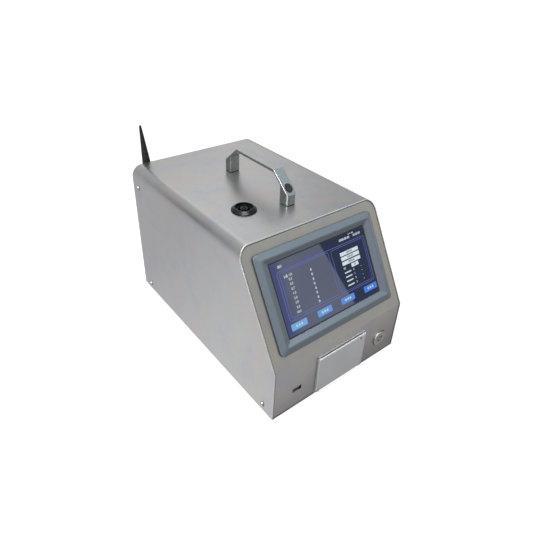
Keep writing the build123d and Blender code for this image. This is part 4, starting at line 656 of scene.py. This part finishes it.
def strip(*lines):
    """Vertices and faces of a strip between lines of points."""
    count = len(lines[0])
    vertices = [tuple(point) for line in lines for point in line]
    faces = []
    for row in range(len(lines) - 1):
        low, high = row * count, (row + 1) * count
        faces.extend((low + i, low + i + 1, high + i + 1, high + i) for i in range(count - 1))
    return vertices, faces


def ring(middle, axis, inner, outer, start=0, end=360, steps=48):
    """Flat ring, or part of one, at right angles to the X or Y axis."""
    lines = []
    for radius in (outer, inner):
        line = []
        for step in range(steps + 1):
            turn = radians(start + (end - start) * step / steps)
            a, b = radius * sin(turn), radius * cos(turn)
            shift = (0, a, b) if axis == "X" else (a, 0, b)
            line.append(tuple((m + d) * MM for m, d in zip(middle, shift)))
        lines.append(line)
    return strip(*lines)


def upright_box(middle, sides):
    """Vertices and face of an upright box that faces the front, with its left, bottom, right and top."""
    x, y, z = middle
    left, bottom, right, top = sides
    corners = ((left, bottom), (right, bottom), (right, top), (left, top))
    return [((x + a) * MM, y * MM, (z + b) * MM) for a, b in corners], [(0, 1, 2, 3)]


# Dark plastic that paints shade: in the seams round the front panel and the bezel, along the lower edge of
# the front, in the gap round the power button and beside the screw heads.
painted_shade_dark = moulded("painted_shade_dark", (0.02, 0.02, 0.022), 0.7, 900, 0.02 * MM, gloss=0.2)
mark_dark = moulded("mark_dark", (0.008, 0.008, 0.009), 0.8, 900, 0.02 * MM, gloss=0.3)
# Lighter, glossier steel for painted highlights on the cover's front edge and on the button's head.
painted_highlight_steel = plain_metal("lighter_highlight_steel", (0.5, 0.5, 0.5), 0.22, 900, 0.002 * MM)
contact_pale = plain_metal("contact_tin", (0.5, 0.5, 0.5), 0.3)


def front_trim():
    """Painted shade in the seams round the front panel and the bezel and along the lower edge, and a lighter
    steel strip that brightens the highlight on the cover's edge.
    """
    outer = [front_point(x, z, SEAM_LIFT) for x, z in cover_line(SHEET)]
    inner = [front_point(x, z, SEAM_LIFT) for x, z in cover_line(SHEET + SEAM_SHADE_WIDTH)]
    # Painted shade: a dark strip on the panel along the seam inside the cover's edge.
    trim_piece("front_seam_shade", *strip(outer, inner), painted_shade_dark, "panel_steel")
    # Rounded edge that catches the key light, in lighter steel that paints its highlight brighter.
    trim_piece("front_rim_highlight", *strip(*rim_lines()), painted_highlight_steel, "cover_steel", smooth=True)

    half_width, half_height = BEZEL_HALF
    outline = rounded_box(-half_width, -half_height, half_width, half_height, BEZEL_CORNER, 6)
    outline.append(outline[0])
    fold = Vector((0, FRONT_FACE, FOLD_HEIGHT)) * MM
    base = [fold + Vector((x * MM, 0, 0)) + up_slope * ((up + BEZEL_MIDDLE) * MM) for x, up in outline]
    foot = [point + slope_out * (SEAM_LIFT * MM) for point in base]
    wall = [point + slope_out * (BEZEL_SHADE_TOP * MM) for point in base]
    # Painted shade: a dark band round the foot of the bezel.
    trim_piece("bezel_foot_shade", *strip(foot, wall), painted_shade_dark, "bezel_plastic")

    # Painted shade: dark strips along the bottom edge of the front.
    for side, span in LOW_EDGE_SPANS.items():
        lines = [[front_point(x, height, SEAM_LIFT) for x in span] for height in LOW_EDGE]
        trim_piece(f"front_low_edge_shade_{side}", *strip(*lines), painted_shade_dark, "panel_steel")


def button_trim():
    """Painted shade in the gap round the power button, a painted highlight ring on its head, and the stand-by
    mark on its cap.
    """
    x, z = BUTTON_AT
    panel = (x, FRONT_FACE + RECESS - TRIM_LIFT, z)
    # Painted shade: a dark ring in the gap round the button's head.
    trim_piece("button_gap_shade", *ring(panel, "Y", *BUTTON_GAP_SHADE), painted_shade_dark, "panel_steel")
    head = (x, FRONT_FACE - BUTTON_HEAD_OUT - BUTTON_LIFT, z)
    # Painted highlight: a thin ring of lighter steel on the button's head.
    trim_piece("button_highlight_ring", *ring(head, "Y", *BUTTON_HIGHLIGHT_RING), painted_highlight_steel, "button_steel")
    cap = (x, FRONT_FACE - BUTTON_CAP_OUT - BUTTON_LIFT, z)
    mark = ring(cap, "Y", *MARK_RING, *MARK_RING_ENDS)
    trim_piece("button_mark_ring", *mark, mark_dark, "button_steel", "power_key")
    bar = upright_box(cap, MARK_BAR)
    trim_piece("button_mark_bar", *bar, mark_dark, "button_steel", "power_key")


def port_trim():
    """Contacts inside the USB socket."""
    x, z = PORT_AT
    for number, sides in enumerate(PORT_CONTACTS):
        middle = (x, FRONT_FACE + PORT_DEPTH + number, z)
        trim_piece(f"port_contact_{number}", *upright_box(middle, sides), contact_pale, "socket_metal")


def screw_trim():
    """Shade beside each screw head on the sides of the cover."""
    for side, name in ((-1, "left"), (1, "right")):
        for number, (y, z) in enumerate(COVER_SCREWS):
            middle = (side * (COVER_HALF + TRIM_LIFT), y + SHADE_SHIFT[0], z + SHADE_SHIFT[1])
            shade = ring(middle, "X", *SHADE_RING)
            trim_piece(f"screw_shade_{name}_{number}", *shade, painted_shade_dark, "cover_steel")


front_trim()
button_trim()
port_trim()
screw_trim()

# ---- Studio --------------------------------------------------------------------------------------


def direction(azimuth, elevation):
    """Unit vector. Azimuth 0 points along +Y and 90 along +X."""
    a, e = radians(azimuth), radians(elevation)
    return Vector((sin(a) * cos(e), cos(a) * cos(e), sin(e)))


SKY_GREY = (0.66, 0.66, 0.675)
# Azimuth, elevation, solid radius and faded radius in degrees, and colour.
SKY_PANELS = (
    (146, 15, 25, 65, (0.675, 0.66, 0.625)),
    (122, 50, 10, 35, (0.66, 0.82, 0.9)),
    (-125, 30, 20, 55, (1.0, 1.0, 1.0)),
    (-40, 15, 28, 50, (0.89, 0.885, 0.885)),
    (-42, 3, 3, 13, (0.58, 0.58, 0.575)),
    (-38, 18, 3, 12, (0.54, 0.54, 0.535)),
    (-31, 31, 2, 11, (0.6, 0.6, 0.59)),
    (29, 38, 10, 24, (1.56, 1.56, 1.55)),
    (23, 14, 4, 14, (0.6, 0.6, 0.6)),
    (55, 32, 4, 16, (0.55, 0.55, 0.55)),
    (131, 30, 4, 11, (2.1, 2.3, 2.4)),
    (0, 90, 22, 40, (2.3, 2.3, 2.3)),
    (0, -90, 80, 91, (0.3, 0.3, 0.3)),
)


def studio_sky():
    """Soft grey room with brighter and dimmer panels round the object and a bright one overhead."""
    world = bpy.data.worlds.new("studio")
    world.use_nodes = True
    bpy.context.scene.world = world
    tree = world.node_tree
    background = tree.nodes["Background"]
    coordinates = add_node(tree, "TexCoord")
    colour = SKY_GREY
    for azimuth, elevation, solid, faded, panel_colour in SKY_PANELS:
        dot = add_node(tree, "VectorMath", operation="DOT_PRODUCT")
        dot.inputs[1].default_value = direction(azimuth, elevation)
        tree.links.new(coordinates.outputs["Generated"], dot.inputs[0])
        inside = smooth_step(tree, dot.outputs["Value"], cos(radians(faded)), cos(radians(solid)))
        colour = blend_colours(tree, inside, colour, panel_colour)
    tree.links.new(colour, background.inputs["Color"])
    background.inputs["Strength"].default_value = 1.0


FLOOR_HALF = 30.0
FLOOR_GREY = (0.14, 0.14, 0.14, 1)
FLOOR_GLOW = 0.9


def studio_floor():
    """Broad matt white floor that glows a little."""
    material, _, shader = new_material("floor_white")
    shader.inputs["Base Color"].default_value = FLOOR_GREY
    shader.inputs["Roughness"].default_value = 0.9
    shader.inputs["Specular IOR Level"].default_value = 0.0
    shader.inputs["Emission Color"].default_value = (1, 1, 1, 1)
    shader.inputs["Emission Strength"].default_value = FLOOR_GLOW
    mesh = bpy.data.meshes.new("floor")
    half = FLOOR_HALF
    corners = [(-half, -half, 0), (half, -half, 0), (half, half, 0), (-half, half, 0)]
    mesh.from_pydata(corners, [], [(0, 1, 2, 3)])
    mesh.materials.append(material)
    floor = bpy.data.objects.new("floor", mesh)
    bpy.context.scene.collection.objects.link(floor)
    floor.visible_diffuse = False


def card(name, material, vertices, faces):
    """Card that only reflections see."""
    mesh = bpy.data.meshes.new(name)
    mesh.from_pydata(vertices, [], faces)
    mesh.materials.append(material)
    holder = bpy.data.objects.new(name, mesh)
    bpy.context.scene.collection.objects.link(holder)
    holder.visible_camera = False
    holder.visible_diffuse = False
    holder.visible_shadow = False
    holder.visible_transmission = False


def graded(name, low_point, high_point, low, high):
    """Glow that goes from one colour to another between two points."""
    material, tree, shader = new_material(name)
    start, end = Vector(low_point), Vector(high_point)
    run = end - start
    coordinates = add_node(tree, "TexCoord")
    dot = add_node(tree, "VectorMath", operation="DOT_PRODUCT")
    dot.inputs[1].default_value = run / run.length_squared
    tree.links.new(coordinates.outputs["Object"], dot.inputs[0])
    ramp = add_node(tree, "MapRange")
    offset = start.dot(run) / run.length_squared
    ramp.inputs["From Min"].default_value = offset
    ramp.inputs["From Max"].default_value = offset + 1
    tree.links.new(dot.outputs["Value"], ramp.inputs["Value"])
    tree.links.new(blend_colours(tree, ramp.outputs["Result"], low, high), shader.inputs["Emission Color"])
    shader.inputs["Base Color"].default_value = (0, 0, 0, 1)
    shader.inputs["Specular IOR Level"].default_value = 0.0
    shader.inputs["Emission Strength"].default_value = 1.0
    return material


# Two cards lie just over the floor, each with its outline and the points and colours of its grading.
CARD_HEIGHT = 2 * MM
FRONT_CARD = ((-0.35, -0.1775), (0.8, -0.1775), (0.95, -0.9), (-0.5, -0.9))
FRONT_CARD_POINTS = ((0.0013, -0.1802, 0), (-0.0044, -0.2228, 0))
FRONT_CARD_COLOURS = ((0.38, 0.372, 0.385), (0.775, 0.76, 0.785))
LEFT_CARD = ((-0.112, 0.2), (-0.112, -0.17), (-0.5, -0.5), (-3.0, -0.1), (-2.5, 2.4), (0.05, 3.0))
LEFT_CARD_POINTS = ((-0.04, 0.138, 0), (-0.16, -0.02, 0))
LEFT_CARD_COLOURS = ((0.835, 0.83, 0.86), (1.2, 1.195, 1.21))
# A dark flag stands to the left of the object, behind it.
FLAG_ENDS = ((-0.287, 0.15), (-0.257, 0.26))
FLAG_BOTTOM = 0.215
FLAG_TOP = 0.33
FLAG_POINTS = ((0, 0, 0.2), (0, 0, 0.33))
FLAG_COLOURS = ((0.2, 0.2, 0.2), (0.3, 0.3, 0.3))


def lying_card(name, outline, points, colours):
    """Card lying just over the floor."""
    vertices = [(x, y, CARD_HEIGHT) for x, y in outline]
    card(name, graded(name, *points, *colours), vertices, [tuple(range(len(outline)))])


def studio_cards():
    """The two lying cards and the flag."""
    lying_card("front_card", FRONT_CARD, FRONT_CARD_POINTS, FRONT_CARD_COLOURS)
    lying_card("left_card", LEFT_CARD, LEFT_CARD_POINTS, LEFT_CARD_COLOURS)
    near, far = FLAG_ENDS
    corners = [(*near, FLAG_BOTTOM), (*far, FLAG_BOTTOM), (*far, FLAG_TOP), (*near, FLAG_TOP)]
    card("bend_flag", graded("bend_flag", *FLAG_POINTS, *FLAG_COLOURS), corners, [(0, 1, 2, 3)])


LIGHT_TARGET = Vector((0, 0, 0.12))


def area_light(name, azimuth, elevation, distance, width, height, power):
    """Soft light of this width and height aimed at the object."""
    light = bpy.data.lights.new(name, "AREA")
    light.shape = "RECTANGLE"
    light.size = width
    light.size_y = height
    light.energy = power
    holder = bpy.data.objects.new(name, light)
    place = LIGHT_TARGET + direction(azimuth, elevation) * distance
    aim = (place - LIGHT_TARGET).to_track_quat("Z", "Y")
    holder.matrix_world = Matrix.Translation(place) @ aim.to_matrix().to_4x4()
    bpy.context.scene.collection.objects.link(holder)
    return holder


def studio_lights():
    """Two lights that only reflections see, and two that only light matt surfaces."""
    for light in (
        area_light("key", -130, 36, 1.6, 0.4, 1.9, 24),
        area_light("rim", -160, 72, 1.6, 0.8, 0.5, 18),
    ):
        light.visible_diffuse = False
    for light in (
        area_light("overhead", -80, 66, 1.7, 1.0, 1.0, 48),
        area_light("fill", -100, 18, 2.0, 1.0, 0.6, 10),
    ):
        light.visible_glossy = False


studio_sky()
studio_floor()
studio_cards()
studio_lights()

# ---- Camera --------------------------------------------------------------------------------------

CAMERA_PLACE = Vector((-0.35431, -0.45552, 0.49794))
CAMERA_AZIMUTH = radians(-38.663)
CAMERA_ELEVATION = radians(32.448)
CAMERA_ROLL = radians(1.971)
LENS_LENGTH = 32.131
LENS_SHIFT = (0.00332, -0.04488)


def photo_camera():
    """Camera at the viewing angle of the picture."""
    back = Vector(
        (
            sin(CAMERA_AZIMUTH) * cos(CAMERA_ELEVATION),
            -cos(CAMERA_AZIMUTH) * cos(CAMERA_ELEVATION),
            sin(CAMERA_ELEVATION),
        )
    )
    right = (-back).cross(Vector((0, 0, 1))).normalized()
    up = right.cross(-back)
    rolled_right = right * cos(CAMERA_ROLL) + up * sin(CAMERA_ROLL)
    rolled_up = up * cos(CAMERA_ROLL) - right * sin(CAMERA_ROLL)
    lens = bpy.data.cameras.new("camera")
    lens.lens = LENS_LENGTH
    lens.sensor_width = 36.0
    lens.shift_x, lens.shift_y = LENS_SHIFT
    lens.clip_start = 0.01
    lens.dof.use_dof = False
    camera = bpy.data.objects.new("camera", lens)
    turn = Matrix((rolled_right, rolled_up, back)).transposed()
    camera.matrix_world = Matrix.Translation(CAMERA_PLACE) @ turn.to_4x4()
    bpy.context.scene.collection.objects.link(camera)
    bpy.context.scene.camera = camera


photo_camera()
bpy.context.scene.view_settings.view_transform = "Standard"
